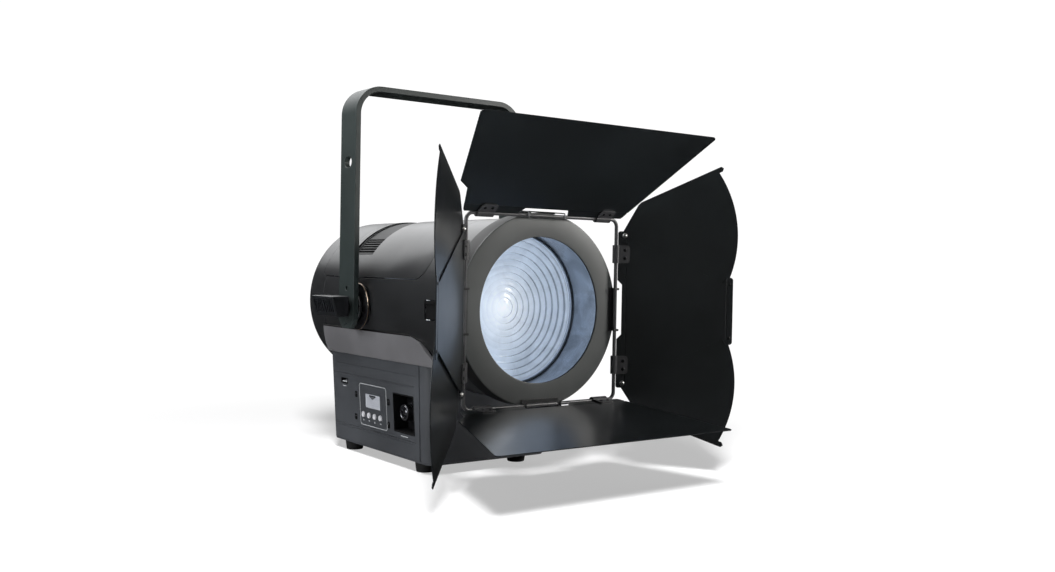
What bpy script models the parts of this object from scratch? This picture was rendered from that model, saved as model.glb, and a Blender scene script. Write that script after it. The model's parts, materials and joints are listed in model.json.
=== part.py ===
"""Fresnel spotlight with a square barn-door set, as an assembly of separate parts.

Units are metres, +Z up. The lens faces -Y and the object's own right side is +X.
The origin is on the flat underside of the base, on the centre plane, straight
below the tilt axis.

Most shapes are written in millimetres in the optical frame: x to the right,
y backwards from the face of the front ring, z up from the optical axis.
"""

import math

import bmesh
import bpy
from mathutils import Matrix, Vector

# ---------------------------------------------------------------- dimensions
MM = 0.001
GAP = 0.3                      # clearance left between touching pieces

AXIS_HEIGHT = 217.0            # optical axis above the base underside
TILT_Y, TILT_Z = 277.0, -5.0    # tilt axis: behind the ring face, a little under the optical axis
FOOT_HEIGHT = 16.0
FOOT_R_TOP, FOOT_R_BOTTOM = 14.8, 13.8
FEET_X, FOOT_FRONT_Y, FOOT_REAR_Y = 78.5, 159.2, 373.4

RING_R, APERTURE_R, RING_DEPTH = 129.3, 97.0, 30.0
BODY_R, BODY_WALL = 123.5, 2.5
SEAM_REAR = 400.5              # where the rear cover starts
BODY_END = 461.5
TUBE_R, TUBE_WALL = 105.0, 2.0
LENS_R, LENS_BACK, LENS_BASE = 104.6, 74.0, 4.5

HOOD_Z = 37.5                  # lower edge of the top cover
HOOD_FRONT, HOOD_BACK = 104.6, 414.0

BASE_TOP_HALF, BASE_BOTTOM_HALF = 109.0, 100.0
BASE_TOP_Z, BASE_BOTTOM_Z = -80.0, -217.0
BASE_FRONT, BASE_REAR = 112.0, 400.0
BASE_WALL = 2.5
PLATE_T = 2.5

FRAME_HALF, FRAME_Y, WIRE_R, FRAME_BEND = 124.6, -6.0, 2.5, 10.0
DOOR_T = 1.2
DOOR_START = 2.9               # leaf edge in front of the hinge axis
SIDE_OUT, SIDE_HALF_IN, SIDE_HALF_LIP = 165.5, 109.0, 47.0
RIVET_U, RIVET_V, FLAP_R = 11.9, 102.8, 159.5
WIDE_IN, WIDE_OUT = 137.5, 186.6   # half-widths of the top and bottom leaves, at the hinge and at the outer edge
TOP_OUT, TOP_SHIFT = 173.0, -8.55  # reach of the top leaf, and how far its sheet sits off centre in x
LOW_OUT, LOW_SHIFT = 177.4, -8.55
TAB_W = 25.0
ANGLE = {"top": 38.1, "bottom": 7.8, "right": 56.2, "left": 44.0}

YOKE_X, YOKE_T, YOKE_W = 146.1, 8.2, 47.0
YOKE_TOP, YOKE_BEND, YOKE_BOTTOM = 315.7, 42.0, -37.0
STRAP_HOLE_R, STRAP_HOLE_X = 6.5, 66.0
LEG_HOLE_Z, LEG_HOLE_R = 204.5, 7.8
STUD_R, STUD_HOLE_R = 4.5, 5.4
BOSS_R, DISC_R = 34.0, 23.5

CARRIAGE_Y = 250.0             # front of the moving light engine at rest
ROD_R, ROD_X = 4.0, 88.0
SCREW_R, SCREW_Z = 4.0, -92.0
SEG = 56

# ------------------------------------------------------------------- set-up
for old in list(bpy.data.objects):
    bpy.data.objects.remove(old, do_unlink=True)
scene = bpy.context.scene
scene.unit_settings.system = "METRIC"
scene.unit_settings.scale_length = 1.0


def at(x, y, z):
    """World point, in metres, of an optical-frame point in millimetres."""
    return Vector((x, y - TILT_Y, z + AXIS_HEIGHT)) * MM


def material(name, colour, roughness, metallic=0.0):
    m = bpy.data.materials.new(name)
    m.use_nodes = True
    p = m.node_tree.nodes["Principled BSDF"]
    p.inputs["Base Color"].default_value = (*colour, 1.0)
    p.inputs["Roughness"].default_value = roughness
    p.inputs["Metallic"].default_value = metallic
    return m


BLACK = material("satin_black_paint", (0.022, 0.023, 0.025), 0.42)
RING = material("satin_ring_paint", (0.05, 0.05, 0.05), 0.45)
YOKE = material("fine_black_paint", (0.018, 0.022, 0.025), 0.5)
DOOR = material("door_black_paint", (0.012, 0.014, 0.016), 0.38)
PLASTIC = material("black_plastic", (0.015, 0.016, 0.018), 0.45)
RUBBER = material("black_rubber", (0.012, 0.012, 0.012), 0.85)
STEEL = material("zinc_steel", (0.62, 0.62, 0.60), 0.35, 1.0)
ALU = material("bare_aluminium", (0.75, 0.76, 0.78), 0.4, 1.0)
GLASS = material("lens_glass", (0.85, 0.92, 1.0), 0.05)
BOARD = material("circuit_board", (0.02, 0.12, 0.06), 0.5)
LED = material("led_phosphor", (0.9, 0.8, 0.3), 0.5)
SCREEN = material("display_window", (0.75, 0.8, 0.85), 0.2)
BUTTON = material("grey_button", (0.6, 0.6, 0.62), 0.5)


# ------------------------------------------------------------------ helpers
def mesh_object(name, bm, mat, place=(0.0, 0.0, 0.0), turn=None, smooth=35.0):
    """Puts a millimetre bmesh into the scene with its origin at an optical-frame point."""
    bmesh.ops.scale(bm, vec=(MM, MM, MM), verts=bm.verts)
    bmesh.ops.recalc_face_normals(bm, faces=bm.faces)
    me = bpy.data.meshes.new(name)
    bm.to_mesh(me)
    bm.free()
    me.shade_smooth()
    me.set_sharp_from_angle(angle=math.radians(smooth))
    me.materials.append(mat)
    ob = bpy.data.objects.new(name, me)
    scene.collection.objects.link(ob)
    ob.location = at(*place)
    if turn is not None:
        ob.rotation_euler = turn.to_euler()
    return ob


def copy_of(ob, name, place, turn=None):
    """Another object on the same mesh, with the same modifiers."""
    new = ob.copy()
    new.name = name
    scene.collection.objects.link(new)
    new.location = at(*place)
    if turn is not None:
        new.rotation_euler = turn.to_euler()
    return new


def cutter(bm, name, place=(0.0, 0.0, 0.0), turn=None):
    ob = mesh_object(name, bm, BLACK, place, turn)
    ob.hide_render = True
    ob.display_type = "WIRE"
    return ob


def boolean(ob, other, how="DIFFERENCE"):
    m = ob.modifiers.new(how.lower() + "_" + other.name, "BOOLEAN")
    m.operation = how
    m.solver = "EXACT"
    m.object = other


def settle(ob, *used):
    """Bakes an object's modifiers into its mesh, so that turned copies of it can share that mesh."""
    bpy.context.view_layer.update()
    done = bpy.data.meshes.new_from_object(ob.evaluated_get(bpy.context.evaluated_depsgraph_get()))
    ob.modifiers.clear()
    ob.data = done
    for other in used:
        bpy.data.objects.remove(other, do_unlink=True)


def box(x0, x1, y0, y1, z0, z1, bm=None):
    bm = bm or bmesh.new()
    m = Matrix.Translation(((x0 + x1) / 2, (y0 + y1) / 2, (z0 + z1) / 2)) @ Matrix.Diagonal((x1 - x0, y1 - y0, z1 - z0, 1.0))
    bmesh.ops.create_cube(bm, size=1.0, matrix=m)
    return bm


def rod(r, a, b, axis="Y", centre=(0.0, 0.0), seg=24, bm=None, r2=None):
    """Round bar from a to b along an axis; centre gives the other two coordinates in order."""
    bm = bm or bmesh.new()
    c, u = (a + b) / 2, centre
    if axis == "X":
        m = Matrix.Translation((c, u[0], u[1])) @ Matrix.Rotation(math.pi / 2, 4, "Y")
    elif axis == "Y":
        m = Matrix.Translation((u[0], c, u[1])) @ Matrix.Rotation(-math.pi / 2, 4, "X")
    else:
        m = Matrix.Translation((u[0], u[1], c))
    bmesh.ops.create_cone(bm, cap_ends=True, segments=seg, radius1=r, radius2=r if r2 is None else r2, depth=b - a, matrix=m)
    return bm


def turned(profile, axis="Y", seg=SEG, closed=True):
    """Spins (radius, along) points round an axis."""
    bm = bmesh.new()
    vs = []
    for r, a in profile:
        vs.append(bm.verts.new((r, a, 0.0) if axis == "Y" else ((a, r, 0.0) if axis == "X" else (r, 0.0, a))))
    n = len(vs)
    edges = [bm.edges.new((vs[i], vs[(i + 1) % n])) for i in range(n if closed else n - 1)]
    way = {"X": (1, 0, 0), "Y": (0, 1, 0), "Z": (0, 0, 1)}[axis]
    bmesh.ops.spin(bm, geom=vs + edges, cent=(0, 0, 0), axis=way, angle=2 * math.pi, steps=seg, use_merge=True)
    bmesh.ops.remove_doubles(bm, verts=bm.verts, dist=1e-4)
    bmesh.ops.dissolve_degenerate(bm, edges=bm.edges, dist=1e-5)
    return bm


def plate(outline, a0, a1, axis="Z"):
    """Extrudes a closed outline from a0 to a1 along an axis. The outline is in the other two axes in order."""
    bm = bmesh.new()

    def point(p, a):
        return {"X": (a, p[0], p[1]), "Y": (p[0], a, p[1]), "Z": (p[0], p[1], a)}[axis]

    f = bm.faces.new([bm.verts.new(point(p, a0)) for p in outline])
    moved = bmesh.ops.extrude_face_region(bm, geom=[f])["geom"]
    d = {"X": (a1 - a0, 0, 0), "Y": (0, a1 - a0, 0), "Z": (0, 0, a1 - a0)}[axis]
    bmesh.ops.translate(bm, vec=d, verts=[v for v in moved if isinstance(v, bmesh.types.BMVert)])
    return bm


def arc(cx, cy, r, a0, a1, n):
    return [(cx + r * math.cos(math.radians(a0 + (a1 - a0) * i / n)), cy + r * math.sin(math.radians(a0 + (a1 - a0) * i / n))) for i in range(n + 1)]


def rounded(x0, x1, y0, y1, r, n=5):
    """Rounded rectangle; r is one radius or four, from the low-low corner anticlockwise."""
    rr = r if isinstance(r, (tuple, list)) else (r,) * 4
    return (arc(x0 + rr[0], y0 + rr[0], rr[0], 180, 270, n) + arc(x1 - rr[1], y0 + rr[1], rr[1], 270, 360, n)
            + arc(x1 - rr[2], y1 - rr[2], rr[2], 0, 90, n) + arc(x0 + rr[3], y1 - rr[3], rr[3], 90, 180, n))


def loft(lower, z0, upper, z1):
    """Closed solid between two outlines with the same number of points."""
    bm = bmesh.new()
    a = [bm.verts.new((x, y, z0)) for x, y in lower]
    b = [bm.verts.new((x, y, z1)) for x, y in upper]
    bm.faces.new(a)
    bm.faces.new(b)
    for i in range(len(a)):
        j = (i + 1) % len(a)
        bm.faces.new((a[i], a[j], b[j], b[i]))
    return bm


def side_x(z):
    """Half-width of the tapered base at height z."""
    return BASE_BOTTOM_HALF + (z - BASE_BOTTOM_Z) * (BASE_TOP_HALF - BASE_BOTTOM_HALF) / (BASE_TOP_Z - BASE_BOTTOM_Z)


def cylinder_cutter(name, r, y0, y1):
    return cutter(rod(r, y0, y1, "Y", seg=SEG), name)


# ------------------------------------------------------- optical housing
front_ring = mesh_object("front_ring", turned([
    (APERTURE_R, 0.0), (RING_R - 1.0, 0.0), (RING_R, 1.0), (RING_R, RING_DEPTH), (BODY_R + 0.4, RING_DEPTH),
    (BODY_R + 0.4, 3.0), (APERTURE_R, 3.0)]), RING)

main_shell = mesh_object("main_shell", turned([
    (BODY_R, 3.4), (BODY_R, SEAM_REAR - 0.4), (BODY_R - BODY_WALL, SEAM_REAR - 0.4), (BODY_R - BODY_WALL, 3.4)]), BLACK)
boolean(main_shell, cutter(box(-140, 140, HOOD_FRONT - 0.5, SEAM_REAR + 20, HOOD_Z - 0.5, 140), "cut_hood_opening"))
boolean(main_shell, cutter(box(-84, 84, 128, 386, -140, -80), "cut_shell_bottom"))
boolean(main_shell, cutter(rod(14.0, -140, 140, "X", (TILT_Y, TILT_Z)), "cut_shell_pivots"))

top_cover = mesh_object("top_cover", turned([
    (BODY_R, HOOD_FRONT), (BODY_R, 282.0), (BODY_R - 0.9, 283.0), (BODY_R - 0.9, 337.0), (BODY_R, 337.6), (BODY_R, 338.4),
    (BODY_R - 1.2, 339.0), (BODY_R - 1.2, 346.0), (BODY_R, 347.0), (BODY_R, HOOD_BACK),
    (BODY_R - BODY_WALL, HOOD_BACK), (BODY_R - BODY_WALL, HOOD_FRONT)], seg=72), BLACK)
boolean(top_cover, cutter(box(-140, 140, 80, 460, -140, HOOD_Z), "cut_hood_lower"))
slots = bmesh.new()
for side in (-1, 1):
    for i in range(7):
        a = math.radians(37.0 + 3.6 * i)
        m = Matrix.Rotation(-side * (math.pi / 2 - a), 4, "Y") @ Matrix.Translation((0, 309.5, BODY_R)) @ Matrix.Diagonal((3.0, 51.0, 12.0, 1.0))
        bmesh.ops.create_cube(slots, size=1.0, matrix=m)
boolean(top_cover, cutter(slots, "cut_hood_louvres"))

corner = 15.0
bend = range(0, 91, 30)
rear_cover = mesh_object("rear_cover", turned(
    [(BODY_R, SEAM_REAR)] + [(BODY_R - corner + corner * math.cos(math.radians(a)), BODY_END - corner + corner * math.sin(math.radians(a))) for a in bend]
    + [(0.0, BODY_END), (0.0, BODY_END - BODY_WALL)]
    + [(BODY_R - corner + (corner - BODY_WALL) * math.cos(math.radians(a)), BODY_END - corner + (corner - BODY_WALL) * math.sin(math.radians(a))) for a in reversed(bend)]
    + [(BODY_R - BODY_WALL, SEAM_REAR)], seg=48), BLACK)
boolean(rear_cover, cutter(box(-140, 140, SEAM_REAR - 20, HOOD_BACK + 0.4, HOOD_Z - 0.5, 140), "cut_rear_for_hood"))
grille = bmesh.new()
for i in range(-3, 4):
    z = i * 16.0
    half = math.sqrt(68.0 ** 2 - z * z)
    box(-half, half, BODY_END - 8, BODY_END + 12, z - 4.0, z + 4.0, grille)
boolean(rear_cover, cutter(grille, "cut_rear_grille"))

lens_tube = mesh_object("lens_tube", turned([
    (TUBE_R, 3.4), (TUBE_R + TUBE_WALL, 3.4), (TUBE_R + TUBE_WALL, 82.0), (BODY_R - BODY_WALL - 0.5, 82.0),
    (BODY_R - BODY_WALL - 0.5, 86.0), (LENS_R - 6.0, 86.0), (LENS_R - 6.0, LENS_BACK + 0.4), (TUBE_R, LENS_BACK + 0.4)]), BLACK)

# stepped face towards the front; both faces lie on a shallow bowl that bulges towards the light engine
BOWL_R, BOWL_DEPTH = 98.0, 17.4


def bowl(r):
    return BOWL_DEPTH * max(0.0, 1.0 - (r / BOWL_R) ** 2)


steps = [(0.0, -1.5), (16.0, 0.0)]
for i in range(6):
    r0 = 16.0 + i * 13.6
    steps += [(r0 + 0.8, -3.6), (r0 + 13.6, 0.0)]
steps = [(r, LENS_BACK - LENS_BASE + y + bowl(r)) for r, y in steps]
steps += [(LENS_R, LENS_BACK - LENS_BASE), (LENS_R, LENS_BACK)] + [(r, LENS_BACK + bowl(r)) for r in (BOWL_R, 82.0, 66.0, 50.0, 33.0, 16.0, 0.0)]
fresnel_lens = mesh_object("fresnel_lens", turned(steps, seg=40), GLASS)

# ------------------------------------------------------------ lower housing
for name, s in (("skirt_left", -1), ("skirt_right", 1)):
    section = [(s * 90.0, -40.5), (s * 118.4, -40.5), (s * 118.6, -50.0), (s * 117.6, -62.0), (s * 115.2, -76.0), (s * 114.2, -79.4), (s * 90.0, -79.4)]
    skirt = mesh_object(name, plate(section, 70.0, 409.5, "Y"), BLACK)
    boolean(skirt, cylinder_cutter("cut_" + name + "_body", BODY_R + 0.35, 60, 460))
    inner = cutter(box(min(s * 80, s * 111.9), max(s * 80, s * 111.9), 60, 460, -90, -30), "cut_" + name + "_inner")
    boolean(skirt, inner)
    front = bmesh.new()
    wedge = [(60.0, -20.0), (147.0, -20.0), (140.0, -40.0), (114.0, -47.5), (93.5, -63.0), (73.0, -77.0), (71.0, -80.5), (60.0, -80.5)]
    front = plate(wedge, min(s * 70, s * 140), max(s * 70, s * 140), "X")
    boolean(skirt, cutter(front, "cut_" + name + "_front"))
    rear = plate([(411.0, -35.0), (409.5, -40.5), (398.5, -80.5), (430.0, -80.5), (430.0, -35.0)], min(s * 70, s * 140), max(s * 70, s * 140), "X")
    boolean(skirt, cutter(rear, "cut_" + name + "_rear"))

OUT_R, IN_R = (16.0, 16.0, 6.0, 6.0), (13.5, 13.5, 3.5, 3.5)
z_low, z_top = BASE_BOTTOM_Z + PLATE_T + GAP, -60.0
base_box = mesh_object("base_box", loft(
    rounded(-side_x(z_low), side_x(z_low), BASE_FRONT, BASE_REAR, OUT_R), z_low,
    rounded(-side_x(z_top), side_x(z_top), BASE_FRONT - 8, BASE_REAR, OUT_R), z_top), BLACK)
boolean(base_box, cutter(loft(
    rounded(-side_x(z_low) + BASE_WALL, side_x(z_low) - BASE_WALL, BASE_FRONT + BASE_WALL, BASE_REAR - BASE_WALL, IN_R), z_low - 5,
    rounded(-side_x(z_top) + BASE_WALL, side_x(z_top) - BASE_WALL, BASE_FRONT - 8 + BASE_WALL, BASE_REAR - BASE_WALL, IN_R), z_top + 5), "cut_base_inside"))
boolean(base_box, cylinder_cutter("cut_base_body", BODY_R + 0.35, 60, 460))
PANEL_Y0, PANEL_Y1, PANEL_Z0, PANEL_Z1 = 146.0, 394.0, -190.0, -111.0
TILT_SIDE = math.atan2(BASE_TOP_HALF - BASE_BOTTOM_HALF, BASE_TOP_Z - BASE_BOTTOM_Z)
boolean(base_box, cutter(box(-130, -90, PANEL_Y0, PANEL_Y1, PANEL_Z0, PANEL_Z1), "cut_panel_opening"))
grooves = bmesh.new()
for s in (-1, 1):
    m = Matrix.Translation((s * (side_x(-140) + 0.4), 132.5, -140.0)) @ Matrix.Rotation(s * TILT_SIDE, 4, "Y") @ Matrix.Rotation(math.radians(3.0), 4, "X") @ Matrix.Diagonal((3.0, 3.0, 220.0, 1.0))
    bmesh.ops.create_cube(grooves, size=1.0, matrix=m)
boolean(base_box, cutter(grooves, "cut_base_grooves"))

base_plate = mesh_object("base_plate", plate(rounded(-99.6, 99.6, BASE_FRONT + 0.4, BASE_REAR - 0.4, (15.6, 15.6, 5.6, 5.6)), BASE_BOTTOM_Z, BASE_BOTTOM_Z + PLATE_T, "Z"), BLACK)
holes = bmesh.new()
for x in (-FEET_X, FEET_X):
    for y in (FOOT_FRONT_Y, FOOT_REAR_Y):
        rod(FOOT_R_TOP + 0.6, BASE_BOTTOM_Z - 5, BASE_BOTTOM_Z + 10, "Z", (x, y), 32, holes)
boolean(base_plate, cutter(holes, "cut_foot_holes"))

foot = mesh_object("foot_front_left", turned([
    (0.0, -FOOT_HEIGHT), (FOOT_R_BOTTOM - 1.0, -FOOT_HEIGHT), (FOOT_R_BOTTOM, -FOOT_HEIGHT + 1.0), (FOOT_R_TOP, -0.5),
    (FOOT_R_TOP, PLATE_T + GAP), (FOOT_R_TOP + 3.0, PLATE_T + GAP), (FOOT_R_TOP + 3.0, PLATE_T + 3.0), (0.0, PLATE_T + 3.0)], "Z", 32), RUBBER,
    (-FEET_X, FOOT_FRONT_Y, BASE_BOTTOM_Z))
copy_of(foot, "foot_front_right", (FEET_X, FOOT_FRONT_Y, BASE_BOTTOM_Z))
copy_of(foot, "foot_rear_left", (-FEET_X, FOOT_REAR_Y, BASE_BOTTOM_Z))
copy_of(foot, "foot_rear_right", (FEET_X, FOOT_REAR_Y, BASE_BOTTOM_Z))

# ------------------------------------------------------------ control panel
# Panel pieces are drawn upright about a point on the sloping side, with x outwards, then leaned to the slope.
PANEL_Z = (PANEL_Z0 + PANEL_Z1) / 2
PANEL_AT = (-side_x(PANEL_Z), 0.0, PANEL_Z)
LEAN = Matrix.Rotation(-TILT_SIDE, 4, "Y")


def on_panel(bm):
    """Mirrors an outward-x drawing to the left side and leans it; z is taken from the panel's middle."""
    bmesh.ops.scale(bm, vec=(-1, 1, 1), verts=bm.verts)
    bmesh.ops.translate(bm, vec=(0, 0, -PANEL_Z), verts=bm.verts)
    bmesh.ops.reverse_faces(bm, faces=bm.faces)
    return bm


BUTTON_Y, BUTTON_Z, BUTTON_R = (246.8, 264.2, 281.6, 299.0), -168.0, 4.2
WINDOW = (245.5, 291.0, -157.0, -135.5)
RECESS = (148.5, 207.0, -181.0, -125.0)
USB = (347.0, 368.5, -127.5, -118.5)

control_panel = mesh_object("control_panel", on_panel(plate(rounded(PANEL_Y0 + 0.4, PANEL_Y1 - 0.4, PANEL_Z0 + 0.4, PANEL_Z1 - 0.4, 1.0, 3), -2.6, -0.2, "X")), BLACK, PANEL_AT, LEAN)
cuts = bmesh.new()
box(-10, 10, RECESS[0] - GAP, RECESS[1] + GAP, RECESS[2] - GAP, RECESS[3] + GAP, cuts)
box(-10, 10, WINDOW[0] - GAP, WINDOW[1] + GAP, WINDOW[2] - GAP, WINDOW[3] + GAP, cuts)
box(-10, 10, USB[0] - GAP, USB[1] + GAP, USB[2] - GAP, USB[3] + GAP, cuts)
for y in BUTTON_Y:
    rod(BUTTON_R + 0.4, -10, 10, "X", (y, BUTTON_Z), 20, cuts)
boolean(control_panel, cutter(on_panel(cuts), "cut_panel_holes", PANEL_AT, LEAN))

window = on_panel(box(-4.5, 0.1, *WINDOW))
mesh_object("display_window", window, SCREEN, PANEL_AT, LEAN)

for i, y in enumerate(BUTTON_Y):
    name = ("button_mode", "button_up", "button_down", "button_enter")[i]
    profile = [(0.0, 1.6), (BUTTON_R - 0.9, 1.6), (BUTTON_R, 0.8), (BUTTON_R, -4.0), (BUTTON_R + 1.2, -4.0), (BUTTON_R + 1.2, -5.2), (0.0, -5.2)]
    bm = turned(profile, "X", 20)
    bmesh.ops.scale(bm, vec=(-1, 1, 1), verts=bm.verts)
    # the button's own origin is the middle of its cap, on the panel's face
    lean = LEAN.to_3x3() @ Vector((0.0, 0.0, BUTTON_Z - PANEL_Z))
    mesh_object(name, bm, BUTTON, (PANEL_AT[0] + lean.x, y, PANEL_AT[2] + lean.z), LEAN)

recess = plate(rounded(*RECESS, 2.0, 3), -24.0, 0.3, "X")
connector_recess = mesh_object("connector_recess", on_panel(recess), PLASTIC, PANEL_AT, LEAN)
hollow = box(-22.0, 10, RECESS[0] + 2, RECESS[1] - 2, RECESS[2] + 2, RECESS[3] - 2)
boolean(connector_recess, cutter(on_panel(hollow), "cut_recess", PANEL_AT, LEAN))
inlet_c = (186.0, -153.0)
inlet = turned([(0.0, -21.6), (14.0, -21.6), (14.0, -17.6), (11.5, -17.6), (11.5, -5.0), (9.0, -5.0), (9.0, -15.0), (4.0, -15.0), (4.0, -7.0), (0.0, -7.0)], "X", 28)
bmesh.ops.translate(inlet, vec=(0, inlet_c[0], inlet_c[1]), verts=inlet.verts)
mesh_object("power_inlet", on_panel(inlet), ALU, PANEL_AT, LEAN)

# --------------------------------------------------- inside: light engine
sled = plate(rounded(-98.0, 98.0, -46.0, 46.0, 6.0, 3), CARRIAGE_Y, CARRIAGE_Y + 5.0, "Y")
carriage_plate = mesh_object("carriage_plate", sled, ALU)
drop = cutter(box(-12, 12, CARRIAGE_Y - 0.0, CARRIAGE_Y + 5.0, -101, -40), "add_nut_arm")
boolean(carriage_plate, drop, "UNION")
bores = bmesh.new()
for x in (-ROD_X, ROD_X):
    rod(ROD_R + 0.4, CARRIAGE_Y - 10, CARRIAGE_Y + 20, "Y", (x, 0.0), 20, bores)
rod(SCREW_R + 0.4, CARRIAGE_Y - 10, CARRIAGE_Y + 20, "Y", (0.0, SCREW_Z), 20, bores)
boolean(carriage_plate, cutter(bores, "cut_carriage_bores"))
for name, x in (("guide_rod_left", -ROD_X), ("guide_rod_right", ROD_X)):
    mesh_object(name, rod(ROD_R, 86.4, 379.6, "Y", (x, 0.0), 20), STEEL)
mesh_object("lead_screw", rod(SCREW_R, 86.4 - TILT_Y, 346.0 - TILT_Y, "Y", seg=20), STEEL, (0.0, TILT_Y, SCREW_Z))
motor = plate(rounded(-18, 18, SCREW_Z - 18, SCREW_Z + 18, 4.0, 3), 346.6, 378.0, "Y")
mesh_object("focus_motor", motor, PLASTIC)
rear_bulkhead = mesh_object("rear_bulkhead", rod(BODY_R - BODY_WALL - 0.6, 380.0, 382.5, "Y", seg=48), ALU)
boolean(rear_bulkhead, cutter(rod(46.0, 370, 390, "Y", seg=40), "cut_bulkhead_air"))

mesh_object("led_module", plate(rounded(-30, 30, -30, 30, 3.0, 3), CARRIAGE_Y - 4.3, CARRIAGE_Y - GAP, "Y"), LED)
reflector = turned([(19.0, CARRIAGE_Y - 4.8), (21.0, CARRIAGE_Y - 4.8), (44.0, CARRIAGE_Y - 45.0), (42.0, CARRIAGE_Y - 45.0)], seg=40)
mesh_object("reflector", reflector, ALU)
heat_sink = mesh_object("heat_sink", box(-42, 42, CARRIAGE_Y + 5.4, CARRIAGE_Y + 46.0, -42, 42), ALU)
channels = bmesh.new()
for i in range(8):
    x = -35.0 + i * 10.0
    box(x - 3.8, x + 3.8, CARRIAGE_Y + 12.0, CARRIAGE_Y + 60.0, -50, 50, channels)
boolean(heat_sink, cutter(channels, "cut_sink_channels"))
fan_frame = mesh_object("fan_frame", plate(rounded(-46, 46, -46, 46, 4.0, 3), 383.2, 407.0, "Y"), PLASTIC)
boolean(fan_frame, cutter(rod(42.0, 388.0, 420, "Y", seg=40), "cut_fan_bore"))
boolean(fan_frame, cutter(turned([(14.0, 380.0), (39.0, 380.0), (39.0, 400.0), (14.0, 400.0)], seg=32), "cut_fan_air"))
struts = bmesh.new()
box(-44, 44, 383.2, 387.8, -2.0, 2.0, struts)
boolean(fan_frame, cutter(struts, "add_fan_strut"), "UNION")
boolean(fan_frame, cutter(box(-2.0, 2.0, 383.21, 387.79, -44, 44), "add_fan_strut_2"), "UNION")
rotor = rod(13.0, 388.6, 405.0, "Y", seg=24)
fan_rotor = mesh_object("fan_rotor", rotor, PLASTIC)
for i in range(7):
    blade = bmesh.new()
    m = Matrix.Rotation(math.radians(360 / 7 * i), 4, "Y") @ Matrix.Translation((25.5, 397.0, 0)) @ Matrix.Rotation(math.radians(38), 4, "X") @ Matrix.Diagonal((28.0, 1.6, 17.0, 1.0))
    bmesh.ops.create_cube(blade, size=1.0, matrix=m)
    boolean(fan_rotor, cutter(blade, "add_blade_%d" % i), "UNION")
mesh_object("power_supply", box(-62, 70, 190, 372, -206, -140), ALU)

# ------------------------------------------------------------- tilt bosses
for name, s in (("tilt_boss_left", -1), ("tilt_boss_right", 1)):
    boss = turned([(0.0, s * 104.0), (13.5, s * 104.0), (13.5, s * 116.0), (BOSS_R, s * 116.0), (BOSS_R, s * 128.0), (BOSS_R - 1.0, s * 129.0), (16.0, s * 129.0), (16.0, s * 132.0),
                   (DISC_R, s * 132.0), (DISC_R, s * 137.4), (STUD_R, s * 137.4), (STUD_R, s * 158.0), (0.0, s * 158.0)], "X", 40)
    ob = mesh_object(name, boss, BLACK, (0.0, TILT_Y, TILT_Z))
    core = cutter(rod(BODY_R + 0.35, TILT_Y - 60, TILT_Y + 60, "Y", seg=SEG), "core_" + name)
    keep = cutter(rod(13.1, -126.0, 126.0, "X", (TILT_Y, TILT_Z), 40), "keep_" + name)
    boolean(core, keep)
    boolean(ob, core)

# -------------------------------------------------------------------- yoke
# drawn from the tilt axis
t, high, low, pivot = YOKE_T, YOKE_TOP - TILT_Z, YOKE_BOTTOM - TILT_Z, (0.0, TILT_Y, TILT_Z)
outer = [(-YOKE_X, low)] + arc(-YOKE_X + YOKE_BEND, high - YOKE_BEND, YOKE_BEND, 180, 90, 8) + arc(YOKE_X - YOKE_BEND, high - YOKE_BEND, YOKE_BEND, 90, 0, 8) + [(YOKE_X, low)]
inner = [(YOKE_X - t, low)] + arc(YOKE_X - YOKE_BEND, high - YOKE_BEND, YOKE_BEND - t, 0, 90, 8) + arc(-YOKE_X + YOKE_BEND, high - YOKE_BEND, YOKE_BEND - t, 90, 180, 8) + [(-YOKE_X + t, low)]
yoke = mesh_object("yoke", plate(outer + inner, -YOKE_W / 2, YOKE_W / 2, "Y"), YOKE, pivot)
w = YOKE_W / 2
leg_end = [(-w - 9, low - 5), (-w + 12, low - 5), (-w + 12, low), (-w, low + 13), (-w - 9, low + 13)]
boolean(yoke, cutter(plate(leg_end, -160, 160, "X"), "cut_leg_front", pivot))
boolean(yoke, cutter(plate([(-a, b) for a, b in leg_end], -160, 160, "X"), "cut_leg_back", pivot))
drill = rod(STUD_HOLE_R, -170, 170, "X", (0.0, 0.0), 24)
rod(3.0, -172, 172, "X", (0.0, 21.6 - TILT_Z), 12, drill)
for x in (-STRAP_HOLE_X, 0.0, STRAP_HOLE_X):
    rod(STRAP_HOLE_R, high - 30, high + 20, "Z", (x, 0.0), 24, drill)
boolean(yoke, cutter(drill, "cut_yoke_holes", pivot))
leg_slot = arc(2.6, LEG_HOLE_Z - TILT_Z, LEG_HOLE_R, -90, 90, 12) + arc(-2.6, LEG_HOLE_Z - TILT_Z, LEG_HOLE_R, 90, 270, 12)
boolean(yoke, cutter(plate(leg_slot, -171, 171, "X"), "cut_leg_slots", pivot))

for name, s in (("tilt_knob_left", -1), ("tilt_knob_right", 1)):
    grip = [(s * 149.4, -13.5), (s * 177.0, -13.5), (s * 185.5, 15.5), (s * 149.4, 15.5)]
    knob = mesh_object(name, plate(grip, -34.5, 34.5, "Y"), PLASTIC, pivot)
    bevel = knob.modifiers.new("edges", "BEVEL")
    bevel.width, bevel.segments, bevel.limit_method = 1.6 * MM, 1, "ANGLE"
    hub = cutter(rod(13.0, min(s * 146.6, s * 156), max(s * 146.6, s * 156), "X", seg=32), "hub_" + name, pivot)
    boolean(knob, hub, "UNION")
    boolean(knob, cutter(rod(STUD_HOLE_R, min(s * 140, s * 160), max(s * 140, s * 160), "X", seg=20), "bore_" + name, pivot))
    face = box(min(s * 181.5, s * 200), max(s * 181.5, s * 200), -14.0, 22.0, -4.0, 11.0)
    boolean(knob, cutter(face, "face_" + name, pivot))

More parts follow.
